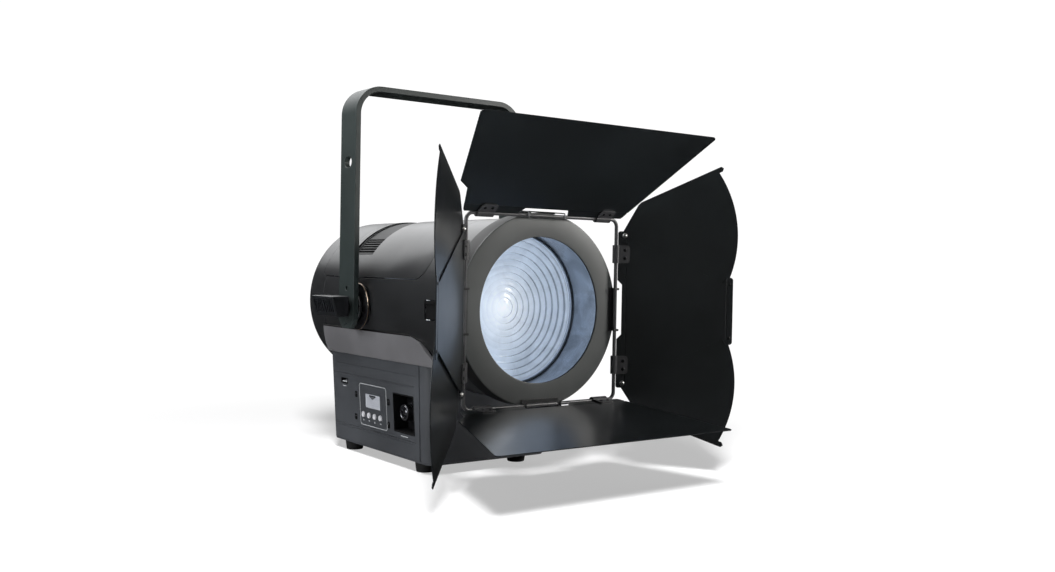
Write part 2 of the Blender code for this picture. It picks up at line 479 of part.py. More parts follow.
# --------------------------------------------------- front accessory holder
h, b = FRAME_HALF, FRAME_BEND
path = arc(h - b, h - b, b, 0, 90, 6) + arc(-h + b, h - b, b, 90, 180, 6) + arc(-h + b, -h + b, b, 180, 270, 6) + arc(h - b, -h + b, b, 270, 360, 6)
wire = bpy.data.curves.new("door_frame", "CURVE")
wire.dimensions = "3D"
spline = wire.splines.new("POLY")
spline.points.add(len(path) - 1)
for p, (x, z) in zip(spline.points, path):
    p.co = (x * MM, 0.0, z * MM, 1.0)
spline.use_cyclic_u = True
wire.bevel_depth = WIRE_R * MM
wire.bevel_resolution = 3
wire.use_fill_caps = True
door_frame = bpy.data.objects.new("door_frame", wire)
scene.collection.objects.link(door_frame)
wire.materials.append(BLACK)
door_frame.location = at(0.0, FRAME_Y, 0.0)

# back plate on the ring's face, low wall outside the wire, and a hook over the wire at each end
channel = [(117.5, -0.4), (128.7, -0.4), (128.7, -10.0), (120.0, -10.0), (120.0, -8.9), (127.4, -8.9), (127.4, -1.8), (117.5, -1.8)]
bracket = mesh_object("frame_bracket_right", plate(channel, -30.0, 30.0, "Z"), BLACK)
between = cutter(box(110.0, 135.0, -12.0, -5.0, -27.0, 27.0), "cut_between_hooks")
boolean(bracket, between)
settle(bracket, between)
copy_of(bracket, "frame_bracket_left", (0, 0, 0), Matrix.Rotation(math.pi, 4, "Y")).location = at(0, 0, 0)
copy_of(bracket, "frame_bracket_bottom", (0, 0, 0), Matrix.Rotation(math.pi / 2, 4, "Y"))

# sprung wire catch over the top of the frame, turning on its straight rear run
catch = bpy.data.curves.new("frame_catch", "CURVE")
catch.dimensions = "3D"
reach, drop = 22.6, 9.0
run = [(-30, -reach, -drop), (-30, -reach, -2.2), (-30, -reach + 2.2, 0), (-30, 0, 0), (30, 0, 0), (30, -reach + 2.2, 0), (30, -reach, -2.2), (30, -reach, -drop)]
spline = catch.splines.new("POLY")
spline.points.add(len(run) - 1)
for p, c in zip(spline.points, run):
    p.co = (c[0] * MM, c[1] * MM, c[2] * MM, 1.0)
catch.bevel_depth = 0.9 * MM
catch.bevel_resolution = 2
catch.use_fill_caps = True
frame_catch = bpy.data.objects.new("frame_catch", catch)
scene.collection.objects.link(frame_catch)
catch.materials.append(STEEL)
frame_catch.location = at(0.0, 12.0, 130.6)

# ---------------------------------------------------------------- barn doors
# Door frame of reference: +X out along the leaf, +Y along the hinge, +Z to the leaf's inner face.
PLACE = {}
for side, deg in ANGLE.items():
    a = math.radians(deg)
    if side == "right":
        u, v, p = Vector((math.sin(a), -math.cos(a), 0)), Vector((0, 0, 1)), (FRAME_HALF, FRAME_Y, 0.0)
    elif side == "left":
        u, v, p = Vector((-math.sin(a), -math.cos(a), 0)), Vector((0, 0, -1)), (-FRAME_HALF, FRAME_Y, 0.0)
    elif side == "top":
        u, v, p = Vector((0, -math.cos(a), math.sin(a))), Vector((-1, 0, 0)), (0.0, FRAME_Y, FRAME_HALF)
    else:
        u, v, p = Vector((0, -math.cos(a), -math.sin(a))), Vector((1, 0, 0)), (0.0, FRAME_Y, -FRAME_HALF)
    w = u.cross(v)
    PLACE[side] = (p, Matrix((u, v, w)).transposed().to_4x4())


def leaf(outline, folds):
    """Sheet leaf cut from an outline, with (distance from hinge, fold in degrees towards the light) folds."""
    bm = bmesh.new()
    f = bm.faces.new([bm.verts.new((x, y, 0.0)) for x, y in outline])
    for at_u, _ in folds:
        bmesh.ops.bisect_plane(bm, geom=list(bm.verts) + list(bm.edges) + list(bm.faces), plane_co=(at_u, 0, 0), plane_no=(1, 0, 0))
    for at_u, deg in folds:
        over = [q for q in bm.verts if q.co.x > at_u + 1e-4]
        bmesh.ops.rotate(bm, verts=over, cent=(at_u, 0, 0), matrix=Matrix.Rotation(-math.radians(deg), 3, "Y"))
    return bm


def sheet(ob, t=DOOR_T):
    m = ob.modifiers.new("sheet", "SOLIDIFY")
    m.thickness, m.offset, m.use_even_offset = t * MM, 0.0, True


NOTCH = 41.0
s_in, u0 = SIDE_HALF_IN, DOOR_START
side_outline = ([(u0, -NOTCH), (9.2, -NOTCH + 5), (9.2, NOTCH - 5), (u0, NOTCH)]
                + arc(u0 + 3, s_in - 3, 3, 180, 90, 3) + [(18.0, s_in - 4.0), (21.0, 98.0), (153.0, 38.4), (157.5, SIDE_HALF_LIP)]
                + [(162.0, SIDE_HALF_LIP), (SIDE_OUT, SIDE_HALF_LIP - 4)] + [(SIDE_OUT, -SIDE_HALF_LIP + 4), (162.0, -SIDE_HALF_LIP)]
                + [(157.5, -SIDE_HALF_LIP), (153.0, -38.4), (21.0, -98.0), (18.0, -s_in + 4.0)] + arc(u0 + 3, -s_in + 3, 3, -90, -180, 3))
for side in ("right", "left"):
    p, m = PLACE[side]
    sheet(mesh_object("door_" + side, leaf(side_outline, []), DOOR, p, m))

CATCH_NOTCH = 14.0             # clears the wire catch while it is lifted


def wide_outline(out, shift, notch, relief, s):
    """Straight-sided leaf in (distance from hinge, x), with x turned into the hinge's own direction by s.
    relief is where its left side steps in beside the left door's flap: (distance, x)."""
    def edge(u):
        return WIDE_IN + (WIDE_OUT - WIDE_IN) * u / out

    pts = [(u0, notch[0]), (CATCH_NOTCH, notch[0] + 5), (CATCH_NOTCH, notch[1] - 5), (u0, notch[1])]
    pts += [(u0, shift + edge(u0) - 2.0), (u0 + 3.0, shift + edge(u0 + 3.0)), (out - 6.0, shift + edge(out - 6.0)), (out, shift + edge(out) - 6.0)]
    pts += [(out, shift - edge(out) + 6.0), (out - 6.0, shift - edge(out - 6.0)), (relief[0] + 12.0, shift - edge(relief[0] + 12.0)), relief, (u0 + 3.0, -132.0), (u0, -130.0)]
    return [(u, s * x) for u, x in pts]


for side, shape in (("top", (TOP_OUT, TOP_SHIFT, (-46.7, 35.3), (44.0, -146.0), -1)), ("bottom", (LOW_OUT, LOW_SHIFT, (-NOTCH, NOTCH), (28.0, -140.3), 1))):
    p, m = PLACE[side]
    sheet(mesh_object("door_" + side, leaf(wide_outline(*shape), []), DOOR, p, m))

# side flaps turn on rivets, just outside the leaf
flap_outline = ([(-5.0, -6.0)] + arc(0, 0, FLAP_R, -26.5, 34.4, 12) + [(136.0, 92.4), (137.6, 96.8), (133.8, 99.0), (23.0, 47.2), (18.6, 43.0), (-1.2, 7.3), (-5.0, 0.0)])
FLAP_REST = {"right_upper": 0.0, "right_lower": 4.4, "left_upper": 4.0, "left_lower": 4.0}   # degrees already folded in towards the leaf
FLAP_STEP = DOOR_T + 0.4         # the upper flap lies behind the leaf, the lower one behind the upper
for side in ("right", "left"):
    p, m = PLACE[side]
    for name, s in (("upper", 1), ("lower", -1)):
        # on the left door the local +Y runs downwards, so upper and lower change over
        v = s if side == "right" else -s
        c, d = math.cos(math.radians(FLAP_REST[side + "_" + name])), math.sin(math.radians(FLAP_REST[side + "_" + name]))
        bm = leaf([(x * c + y * d, v * (y * c - x * d)) for x, y in flap_outline], [])
        if v < 0:
            bmesh.ops.reverse_faces(bm, faces=bm.faces)
        spot = Vector(p) + (m.to_3x3() @ Vector((RIVET_U, v * RIVET_V, -FLAP_STEP * (1 if s > 0 else 2))))
        sheet(mesh_object("flap_%s_%s" % (side, name), bm, DOOR, tuple(spot), m))

# hinge tabs: a knuckle round the frame wire and a leaf screwed to the door's inner face
knuckle = turned([(WIRE_R + 0.45, -TAB_W / 2), (WIRE_R + 2.4, -TAB_W / 2), (WIRE_R + 2.4, TAB_W / 2), (WIRE_R + 0.45, TAB_W / 2)], "Y", 20)
tab_ob = None
for side in ANGLE:
    p, m = PLACE[side]
    centre = 77.0 if side in ("right", "left") else 97.5
    for n, v in ((1, -centre), (2, centre)):
        spot = Vector(p) + (m.to_3x3() @ Vector((0.0, v, 0.0)))
        if tab_ob is None:
            tab_ob = mesh_object("hinge_%s_%d" % (side, n), knuckle, BLACK, tuple(spot), m)
            lid = plate(rounded(4.2, 19.0, -TAB_W / 2 + 0.01, TAB_W / 2 - 0.01, (0.5, 4.0, 4.0, 0.5), 3), DOOR_T / 2 + 0.35, DOOR_T / 2 + 2.0, "Z")
            lid_ob = cutter(lid, "add_hinge_leaf", tuple(spot), m)
            boolean(tab_ob, lid_ob, "UNION")
            relief = cutter(box(DOOR_START - 1.2, 9.0, -TAB_W, TAB_W, -DOOR_T / 2 - 0.5, DOOR_T / 2 + 0.34), "cut_hinge_relief", tuple(spot), m)
            boolean(tab_ob, relief)
            settle(tab_ob, lid_ob, relief)
        else:
            copy_of(tab_ob, "hinge_%s_%d" % (side, n), tuple(spot), m)
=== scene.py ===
"""Looks of the fresnel spotlight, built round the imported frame. All local drawing is in millimetres in the
optical frame: origin at the centre of the front ring's face, x right, y back, z up."""
import json
import math

import bmesh
import bpy
from mathutils import Matrix, Vector

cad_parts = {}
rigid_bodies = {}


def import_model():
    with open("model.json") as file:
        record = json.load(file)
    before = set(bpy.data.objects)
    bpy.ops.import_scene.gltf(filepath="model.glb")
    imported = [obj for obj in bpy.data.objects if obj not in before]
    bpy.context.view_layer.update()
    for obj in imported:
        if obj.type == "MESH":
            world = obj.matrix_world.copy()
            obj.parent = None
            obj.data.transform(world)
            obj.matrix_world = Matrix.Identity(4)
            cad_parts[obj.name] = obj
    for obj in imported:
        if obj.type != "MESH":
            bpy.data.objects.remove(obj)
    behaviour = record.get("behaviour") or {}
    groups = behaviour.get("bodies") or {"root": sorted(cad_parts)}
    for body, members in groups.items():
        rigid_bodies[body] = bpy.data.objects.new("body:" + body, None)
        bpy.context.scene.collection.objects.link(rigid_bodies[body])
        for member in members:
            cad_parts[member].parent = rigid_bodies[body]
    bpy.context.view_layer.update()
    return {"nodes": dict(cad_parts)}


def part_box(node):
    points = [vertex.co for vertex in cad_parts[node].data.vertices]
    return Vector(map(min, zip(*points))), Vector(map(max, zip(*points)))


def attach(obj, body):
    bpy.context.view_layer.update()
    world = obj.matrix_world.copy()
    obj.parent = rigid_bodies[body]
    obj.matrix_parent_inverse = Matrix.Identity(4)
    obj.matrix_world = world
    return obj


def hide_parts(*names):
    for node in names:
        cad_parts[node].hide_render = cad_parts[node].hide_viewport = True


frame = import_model()
NODES = frame["nodes"]
MM = 0.001

# The optical frame's origin comes from the front ring and the tilt boss.
ring_lo, ring_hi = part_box("front_ring")
boss_lo, boss_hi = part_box("tilt_boss_left")
ORIGIN = Vector(((ring_lo.x + ring_hi.x) / 2, ring_lo.y, (ring_lo.z + ring_hi.z) / 2))
RING_R = (ring_hi.x - ring_lo.x) / 2 / MM
TILT_Y = ((boss_lo.y + boss_hi.y) / 2 - ORIGIN.y) / MM
TILT_Z = ((boss_lo.z + boss_hi.z) / 2 - ORIGIN.z) / MM
BODY_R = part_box("main_shell")[1].x / MM
BODY_END = (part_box("rear_cover")[1].y - ORIGIN.y) / MM
FLOOR_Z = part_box("foot_rear_left")[0].z


def world(x, y, z):
    return ORIGIN + Vector((x, y, z)) * MM


# ================================================================ materials
def nodes_of(name):
    m = bpy.data.materials.new(name)
    m.use_nodes = True
    t = m.node_tree
    return m, t, t.nodes["Principled BSDF"]


def noise(t, scale, detail=3.0, rough=0.5, stretch=None, distort=0.0):
    co = t.nodes.new("ShaderNodeTexCoord")
    src = co.outputs["Object"]
    if stretch:
        mp = t.nodes.new("ShaderNodeMapping")
        mp.inputs["Scale"].default_value = stretch
        t.links.new(src, mp.inputs["Vector"])
        src = mp.outputs["Vector"]
    n = t.nodes.new("ShaderNodeTexNoise")
    n.inputs["Scale"].default_value = scale
    n.inputs["Detail"].default_value = detail
    n.inputs["Roughness"].default_value = rough
    n.inputs["Distortion"].default_value = distort
    t.links.new(src, n.inputs["Vector"])
    return n.outputs["Fac"]


def spread(t, fac, lo, hi, from_lo=0.35, from_hi=0.65):
    r = t.nodes.new("ShaderNodeMapRange")
    r.inputs["From Min"].default_value = from_lo
    r.inputs["From Max"].default_value = from_hi
    r.inputs["To Min"].default_value = lo
    r.inputs["To Max"].default_value = hi
    t.links.new(fac, r.inputs["Value"])
    return r.outputs["Result"]


def blend_colour(t, fac, a, b):
    m = t.nodes.new("ShaderNodeMix")
    m.data_type = "RGBA"
    for s, c in ((6, a), (7, b)):
        if isinstance(c, tuple):
            m.inputs[s].default_value = (*c, 1.0)
        else:
            t.links.new(c, m.inputs[s])
    if isinstance(fac, float):
        m.inputs[0].default_value = fac
    else:
        t.links.new(fac, m.inputs[0])
    return m.outputs[2]


def bump(t, p, layers):
    """layers: (height socket, distance in metres, strength)."""
    last = None
    for h, dist, strength in layers:
        b = t.nodes.new("ShaderNodeBump")
        b.inputs["Distance"].default_value = dist
        b.inputs["Strength"].default_value = strength
        t.links.new(h, b.inputs["Height"])
        if last is not None:
            t.links.new(last, b.inputs["Normal"])
        last = b.outputs["Normal"]
    t.links.new(last, p.inputs["Normal"])


def up_dust(t, colour, amount, tint=(0.30, 0.30, 0.30)):
    """Faint settled dust on faces that look up, broken up by a noise."""
    g = t.nodes.new("ShaderNodeNewGeometry")
    s = t.nodes.new("ShaderNodeSeparateXYZ")
    t.links.new(g.outputs["Normal"], s.inputs[0])
    up = spread(t, s.outputs["Z"], 0.0, amount, 0.35, 1.0)
    speck = spread(t, noise(t, 90.0, 6.0, 0.7), 0.3, 1.0, 0.4, 0.6)
    m = t.nodes.new("ShaderNodeMath")
    m.operation = "MULTIPLY"
    t.links.new(up, m.inputs[0])
    t.links.new(speck, m.inputs[1])
    return blend_colour(t, m.outputs[0], colour, tint)


def paint(name, colour, rough, grain=1400.0, depth=0.00006, strength=0.5, spec=0.5, vary=0.18, dust=0.02, coat=0.0, wave=0.0, ior=1.5):
    m, t, p = nodes_of(name)
    soft = noise(t, 7.0, 4.0, 0.55)
    col = blend_colour(t, spread(t, soft, 0.0, 1.0), tuple(c * (1 - vary) for c in colour), tuple(min(1.0, c * (1 + vary)) for c in colour))
    t.links.new(up_dust(t, col, dust), p.inputs["Base Color"])
    smudge = noise(t, 9.0, 3.0, 0.5)
    t.links.new(spread(t, smudge, rough - 0.025, rough + 0.03), p.inputs["Roughness"])
    p.inputs["Specular IOR Level"].default_value = spec
    p.inputs["IOR"].default_value = ior
    if coat:
        p.inputs["Coat Weight"].default_value = coat
        p.inputs["Coat Roughness"].default_value = 0.20
    layers = [(noise(t, grain, 2.0, 0.6), depth, strength)]
    if wave:
        layers.insert(0, (noise(t, 5.5, 1.0, 0.3), wave, 1.0))
    bump(t, p, layers)
    return m


def metal(name, colour, rough, stretch=(1, 1, 1), scale=600.0, strength=0.25, vary=0.12):
    m, t, p = nodes_of(name)
    n = noise(t, scale, 4.0, 0.6, stretch)
    col = blend_colour(t, spread(t, n, 0.0, 1.0), tuple(c * (1 - vary) for c in colour), tuple(min(1.0, c * (1 + vary)) for c in colour))
    t.links.new(col, p.inputs["Base Color"])
    p.inputs["Metallic"].default_value = 1.0
    t.links.new(spread(t, noise(t, 40.0, 5.0, 0.6), rough - 0.06, rough + 0.1), p.inputs["Roughness"])
    bump(t, p, [(n, 0.00004, strength)])
    return m


HOUSING = paint("housing_satin_charcoal", (0.014, 0.0145, 0.0155), 0.30, grain=1500.0, depth=0.00002, strength=0.2, wave=0.0)
# the skirts get a grey far lighter than the housing's charcoal: painted light for the brightness their upturned faces
# catch
SKIRT_PAINTED_LIGHT = paint("skirt_painted_light_grey", (0.105, 0.103, 0.108), 0.34, dust=0.0)
HOOD_DARK = paint("hood_inset_charcoal", (0.009, 0.0092, 0.010), 0.58, spec=0.35, dust=0.0)
RING_FACE = paint("ring_face_grey", (0.052, 0.056, 0.055), 0.40, dust=0.0)
# the ring's rim gets a near-black copy of the ring's paint: painted shade, darker than the face
RING_RIM_PAINTED_SHADE = paint("ring_rim_painted_shade", (0.006, 0.006, 0.006), 0.5, dust=0.0, spec=0.25)
BASE = paint("base_grained_charcoal", (0.044, 0.047, 0.053), 0.52, grain=900.0, depth=0.0001, strength=0.6)
YOKE = paint("yoke_fine_black", (0.020, 0.028, 0.027), 0.48, grain=1100.0, depth=0.00009, strength=0.7)
DOOR_IN = paint("door_satin_black", (0.0085, 0.0105, 0.0118), 0.30, grain=1600.0, depth=0.00002, strength=0.2, wave=0.0008, dust=0.0, coat=0.6)
CLIP = paint("hinge_clip_grey", (0.040, 0.040, 0.042), 0.34, grain=1500.0, dust=0.0)
WIRE = paint("frame_wire_grey", (0.055, 0.055, 0.057), 0.30, grain=1800.0, dust=0.0)
FRAME_M = paint("wire_frame_black", (0.010, 0.010, 0.011), 0.34, grain=1800.0, dust=0.0)
PLASTIC = paint("knob_moulded_black", (0.010, 0.011, 0.013), 0.40, grain=1300.0, depth=0.00008, strength=0.8)
DEEP = paint("recess_matt_black", (0.003, 0.003, 0.0035), 0.6, spec=0.2, dust=0.0)
RUBBER = paint("foot_rubber", (0.010, 0.010, 0.010), 0.85, grain=700.0, depth=0.00015, strength=0.8, spec=0.3)
PRINT = paint("panel_print_grey", (0.36, 0.37, 0.38), 0.6, grain=2000.0, vary=0.1, dust=0.0)
BUTTON = paint("button_grey", (0.48, 0.48, 0.50), 0.45, vary=0.08, dust=0.0)
ZINC = metal("rivet_zinc", (0.72, 0.72, 0.70), 0.26)
BLACK_OXIDE = metal("screw_black_oxide", (0.05, 0.05, 0.052), 0.38)
COPPER = metal("washer_bronze", (0.60, 0.46, 0.34), 0.3)
STEEL = metal("ground_steel", (0.60, 0.60, 0.59), 0.28, (60, 1, 60), 30.0, 0.4)
ALU = metal("bare_aluminium", (0.74, 0.75, 0.77), 0.36, (1, 30, 1), 40.0, 0.35)
CHROME = metal("socket_nickel", (0.36, 0.36, 0.38), 0.3)
WIRE_STEEL = metal("catch_wire", (0.10, 0.10, 0.105), 0.3)
SUPPLY = metal("supply_case_zinc", (0.50, 0.51, 0.50), 0.45, (1, 1, 1), 25.0, 0.2, 0.2)


def mirror_metal():
    m, t, p = nodes_of("reflector_polished")
    p.inputs["Metallic"].default_value = 1.0
    n = noise(t, 120.0, 3.0, 0.6)
    t.links.new(blend_colour(t, n, (0.88, 0.88, 0.9), (0.95, 0.95, 0.97)), p.inputs["Base Color"])
    t.links.new(spread(t, n, 0.05, 0.12), p.inputs["Roughness"])
    bump(t, p, [(noise(t, 260.0, 2.0, 0.5), 0.00005, 0.3)])
    return m


def led_board():
    m, t, p = nodes_of("led_phosphor_tiles")
    co = t.nodes.new("ShaderNodeTexCoord")
    v = t.nodes.new("ShaderNodeTexVoronoi")
    v.distance = "CHEBYCHEV"
    v.inputs["Scale"].default_value = 220.0
    v.inputs["Randomness"].default_value = 0.0
    t.links.new(co.outputs["Object"], v.inputs["Vector"])
    f = spread(t, v.outputs["Distance"], 1.0, 0.0, 0.34, 0.42)
    t.links.new(blend_colour(t, f, (0.7, 0.7, 0.68), (0.9, 0.72, 0.18)), p.inputs["Base Color"])
    p.inputs["Roughness"].default_value = 0.45
    p.inputs["Emission Color"].default_value = (0.85, 0.92, 1.0, 1)
    t.links.new(f, p.inputs["Emission Strength"])
    bump(t, p, [(f, 0.0002, 0.5)])
    return m


def tube_paint():
    """Smooth dark metal inside of the lens tube, a little mottled."""
    m, t, p = nodes_of("lens_tube_slate")
    n = noise(t, 26.0, 5.0, 0.6, distort=0.8)
    t.links.new(blend_colour(t, spread(t, n, 0.0, 1.0), (0.24, 0.27, 0.31), (0.40, 0.45, 0.52)), p.inputs["Base Color"])
    p.inputs["Metallic"].default_value = 0.85
    t.links.new(spread(t, noise(t, 60.0, 4.0, 0.6), 0.15, 0.24), p.inputs["Roughness"])
    bump(t, p, [(noise(t, 8.0, 2.0, 0.5), 0.0016, 0.5), (noise(t, 500.0, 3.0, 0.7), 0.00008, 0.5)])
    return m


def lens_glass():
    """Lit stepped lens: clear coat over a bluish glow, hottest on the axis, with dark draft faces between the steps."""
    m, t, p = nodes_of("lens_lit_glass")
    co = t.nodes.new("ShaderNodeTexCoord")
    g = t.nodes.new("ShaderNodeNewGeometry")

    def dot(sock, vec):
        d = t.nodes.new("ShaderNodeVectorMath")
        d.operation = "DOT_PRODUCT"
        t.links.new(sock, d.inputs[0])
        d.inputs[1].default_value = vec
        return d.outputs["Value"]

    def math_node(op, a, b=None, c=None):
        k = t.nodes.new("ShaderNodeMath")
        k.operation = op
        for i, s in enumerate((a, b, c)):
            if s is None:
                continue
            if isinstance(s, (int, float)):
                k.inputs[i].default_value = s
            else:
                t.links.new(s, k.inputs[i])
        return k.outputs[0]

    facet = spread(t, dot(g.outputs["Normal"], (0.0, -1.0, 0.0)), 0.0, 1.0, 0.30, 1.02)
    # distance from the hot spot, in the lens plane
    hot = world(0.0, 70.0, 0.0)
    off = t.nodes.new("ShaderNodeVectorMath")
    off.operation = "SUBTRACT"
    t.links.new(co.outputs["Object"], off.inputs[0])
    off.inputs[1].default_value = hot
    flat = t.nodes.new("ShaderNodeVectorMath")
    flat.operation = "MULTIPLY"
    t.links.new(off.outputs[0], flat.inputs[0])
    flat.inputs[1].default_value = (1.0, 0.0, 1.0)
    ln = t.nodes.new("ShaderNodeVectorMath")
    ln.operation = "LENGTH"
    t.links.new(flat.outputs[0], ln.inputs[0])
    spot = spread(t, ln.outputs["Value"], 1.0, 0.0, 0.0, 0.085)
    spot = math_node("POWER", spot, 1.6)
    mottle = spread(t, noise(t, 30.0, 4.0, 0.6, distort=1.2), -0.06, 0.08)
    level = math_node("MULTIPLY_ADD", facet, 0.46, 0.06)
    level = math_node("ADD", level, math_node("MULTIPLY", spot, 0.26))
    level = math_node("ADD", level, mottle)
    t.links.new(blend_colour(t, spot, (0.62, 0.74, 0.92), (0.92, 0.96, 1.0)), p.inputs["Emission Color"])
    t.links.new(level, p.inputs["Emission Strength"])
    p.inputs["Base Color"].default_value = (0.30, 0.36, 0.44, 1)
    t.links.new(spread(t, noise(t, 45.0, 3.0, 0.6), 0.18, 0.28), p.inputs["Roughness"])
    p.inputs["Specular IOR Level"].default_value = 0.5
    p.inputs["Coat Weight"].default_value = 1.0
    p.inputs["Coat Roughness"].default_value = 0.10
    bump(t, p, [(noise(t, 130.0, 3.0, 0.6, distort=0.6), 0.00025, 0.35)])
    return m


def screen_face():
    """Pale display window with a faint pixel grid."""
    m, t, p = nodes_of("display_pale_glass")
    co = t.nodes.new("ShaderNodeTexCoord")
    v = t.nodes.new("ShaderNodeTexVoronoi")
    v.distance = "CHEBYCHEV"
    v.inputs["Scale"].default_value = 1500.0
    v.inputs["Randomness"].default_value = 0.0
    t.links.new(co.outputs["Object"], v.inputs["Vector"])
    f = spread(t, v.outputs["Distance"], 0.0, 0.25, 0.40, 0.5)
    soft = noise(t, 40.0, 2.0, 0.5)
    a = blend_colour(t, soft, (0.27, 0.28, 0.31), (0.38, 0.39, 0.42))
    t.links.new(blend_colour(t, f, a, (0.2, 0.21, 0.24)), p.inputs["Base Color"])
    t.links.new(a, p.inputs["Emission Color"])
    p.inputs["Emission Strength"].default_value = 0.12
    t.links.new(spread(t, noise(t, 80.0, 3.0, 0.6), 0.12, 0.22), p.inputs["Roughness"])
    p.inputs["Coat Weight"].default_value = 0.8
    bump(t, p, [(noise(t, 300.0, 2.0, 0.5), 0.00002, 0.3)])
    return m


RETAINER = metal("retainer_pale_alloy", (0.66, 0.72, 0.80), 0.45)
MIRROR, LED, TUBE, LENS, SCREEN = mirror_metal(), led_board(), tube_paint(), lens_glass(), screen_face()


# ================================================================ mesh tools
def add(dst, src, matrix=None):
    """Copies one bmesh into another, through a matrix, and frees the source."""
    me = bpy.data.meshes.new("tmp")
    src.to_mesh(me)
    src.free()
    if matrix is not None:
        me.transform(matrix)
        if matrix.determinant() < 0:
            me.flip_normals()
    dst.from_mesh(me)
    bpy.data.meshes.remove(me)
    return dst


def raw_object(name, bm, smooth=35.0, place=True, recalc=True):
    if recalc:
        bmesh.ops.recalc_face_normals(bm, faces=bm.faces)
    me = bpy.data.meshes.new(name)
    bm.to_mesh(me)
    bm.free()
    if place:
        me.transform(Matrix.Translation(ORIGIN) @ Matrix.Scale(MM, 4))
    me.shade_smooth()
    me.set_sharp_from_angle(angle=math.radians(smooth))
    ob = bpy.data.objects.new(name, me)
    bpy.context.scene.collection.objects.link(ob)
    return ob


def bake(ob):
    """Turns the object's modifiers into its mesh."""
    bpy.context.view_layer.update()
    dg = bpy.context.evaluated_depsgraph_get()
    me = bpy.data.meshes.new_from_object(ob.evaluated_get(dg))
    ob.modifiers.clear()
    ob.data = me
    return ob


def cut(ob, bm, how="DIFFERENCE"):
    """Boolean with a bmesh drawn in the same frame as the object."""
    other = raw_object("tool", bm)
    m = ob.modifiers.new("b", "BOOLEAN")
    m.operation, m.solver, m.object = how, "EXACT", other
    bake(ob)
    bpy.data.objects.remove(other, do_unlink=True)
    return ob


def clean(ob, dist=0.004):
    bm = bmesh.new()
    bm.from_mesh(ob.data)
    bmesh.ops.remove_doubles(bm, verts=bm.verts, dist=dist * MM)
    bmesh.ops.dissolve_degenerate(bm, edges=bm.edges, dist=dist * MM)
    bmesh.ops.dissolve_limit(bm, angle_limit=math.radians(0.6), verts=bm.verts, edges=bm.edges)
    bm.to_mesh(ob.data)
    bm.free()
    return ob


def edges(ob, width, segs=2, angle=38.0, smooth=35.0):
    """Rounded edges wherever two faces meet at more than an angle."""
    m = ob.modifiers.new("edges", "BEVEL")
    m.width, m.segments, m.limit_method, m.angle_limit = width * MM, segs, "ANGLE", math.radians(angle)
    m.use_clamp_overlap = True
    m.miter_outer = "MITER_ARC"
    m.harden_normals = False
    bake(ob)
    ob.data.shade_smooth()
    ob.data.set_sharp_from_angle(angle=math.radians(smooth))
    w = ob.modifiers.new("normals", "WEIGHTED_NORMAL")
    w.keep_sharp = True
    w.weight = 60
    return ob


def finish_piece(ob, mats, body, stands_for=()):
    ob.data.materials.clear()
    for m in mats if isinstance(mats, (list, tuple)) else [mats]:
        ob.data.materials.append(m)
    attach(ob, body)
    if stands_for:
        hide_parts(*([stands_for] if isinstance(stands_for, str) else stands_for))
    return ob


def piece(name, bm, mats, body, stands_for=(), smooth=35.0, bevel=0.0, segs=2, angle=38.0):
    ob = raw_object(name, bm, smooth)
    if bevel:
        edges(ob, bevel, segs, angle)
    return finish_piece(ob, mats, body, stands_for)


def from_node(node, name, mats, body, bevel=0.4, segs=2, angle=38.0, extra=None, smooth=35.0):
    """A finished copy of a CAD node: the same shape, with its edges rounded."""
    ob = bpy.data.objects.new(name, NODES[node].data.copy())
    bpy.context.scene.collection.objects.link(ob)
    clean(ob)
    if extra:
        extra(ob)
        clean(ob)
    ob.data.shade_smooth()
    ob.data.set_sharp_from_angle(angle=math.radians(smooth))
    if bevel:
        edges(ob, bevel, segs, angle, smooth)
    return finish_piece(ob, mats, body, node)


def box(x0, x1, y0, y1, z0, z1, bm=None):
    bm = bm or bmesh.new()
    bmesh.ops.create_cube(bm, size=1.0, matrix=Matrix.Translation(((x0 + x1) / 2, (y0 + y1) / 2, (z0 + z1) / 2)) @ Matrix.Diagonal((x1 - x0, y1 - y0, z1 - z0, 1.0)))
    return bm


def turned(profile, axis="Y", seg=160, closed=True):
    """Spins (radius, along) points round an axis."""
    bm = bmesh.new()
    put = {"X": lambda r, a: (a, r, 0.0), "Y": lambda r, a: (r, a, 0.0), "Z": lambda r, a: (r, 0.0, a)}[axis]
    vs = [bm.verts.new(put(r, a)) for r, a in profile]
    n = len(vs)
    es = [bm.edges.new((vs[i], vs[(i + 1) % n])) for i in range(n if closed else n - 1)]
    way = {"X": (1, 0, 0), "Y": (0, 1, 0), "Z": (0, 0, 1)}[axis]
    bmesh.ops.spin(bm, geom=vs + es, cent=(0, 0, 0), axis=way, angle=2 * math.pi, steps=seg, use_merge=True)
    bmesh.ops.remove_doubles(bm, verts=bm.verts, dist=1e-4)
    bmesh.ops.dissolve_degenerate(bm, edges=bm.edges, dist=1e-5)
    return bm


def plate(outline, a0, a1, axis="Z"):
    bm = bmesh.new()
    put = {"X": lambda p, a: (a, p[0], p[1]), "Y": lambda p, a: (p[0], a, p[1]), "Z": lambda p, a: (p[0], p[1], a)}[axis]
    lo = [bm.verts.new(put(p, a0)) for p in outline]
    hi = [bm.verts.new(put(p, a1)) for p in outline]
    bm.faces.new(lo)
    bm.faces.new(hi)
    n = len(outline)
    for i in range(n):
        j = (i + 1) % n
        bm.faces.new((lo[i], lo[j], hi[j], hi[i]))
    return bm


def arc(cx, cy, r, a0, a1, n):
    return [(cx + r * math.cos(math.radians(a0 + (a1 - a0) * i / n)), cy + r * math.sin(math.radians(a0 + (a1 - a0) * i / n))) for i in range(n + 1)]


def rounded(x0, x1, y0, y1, r, n=8):
    rr = r if isinstance(r, (tuple, list)) else (r,) * 4
    return (arc(x0 + rr[0], y0 + rr[0], rr[0], 180, 270, n) + arc(x1 - rr[1], y0 + rr[1], rr[1], 270, 360, n)
            + arc(x1 - rr[2], y1 - rr[2], rr[2], 0, 90, n) + arc(x0 + rr[3], y1 - rr[3], rr[3], 90, 180, n))


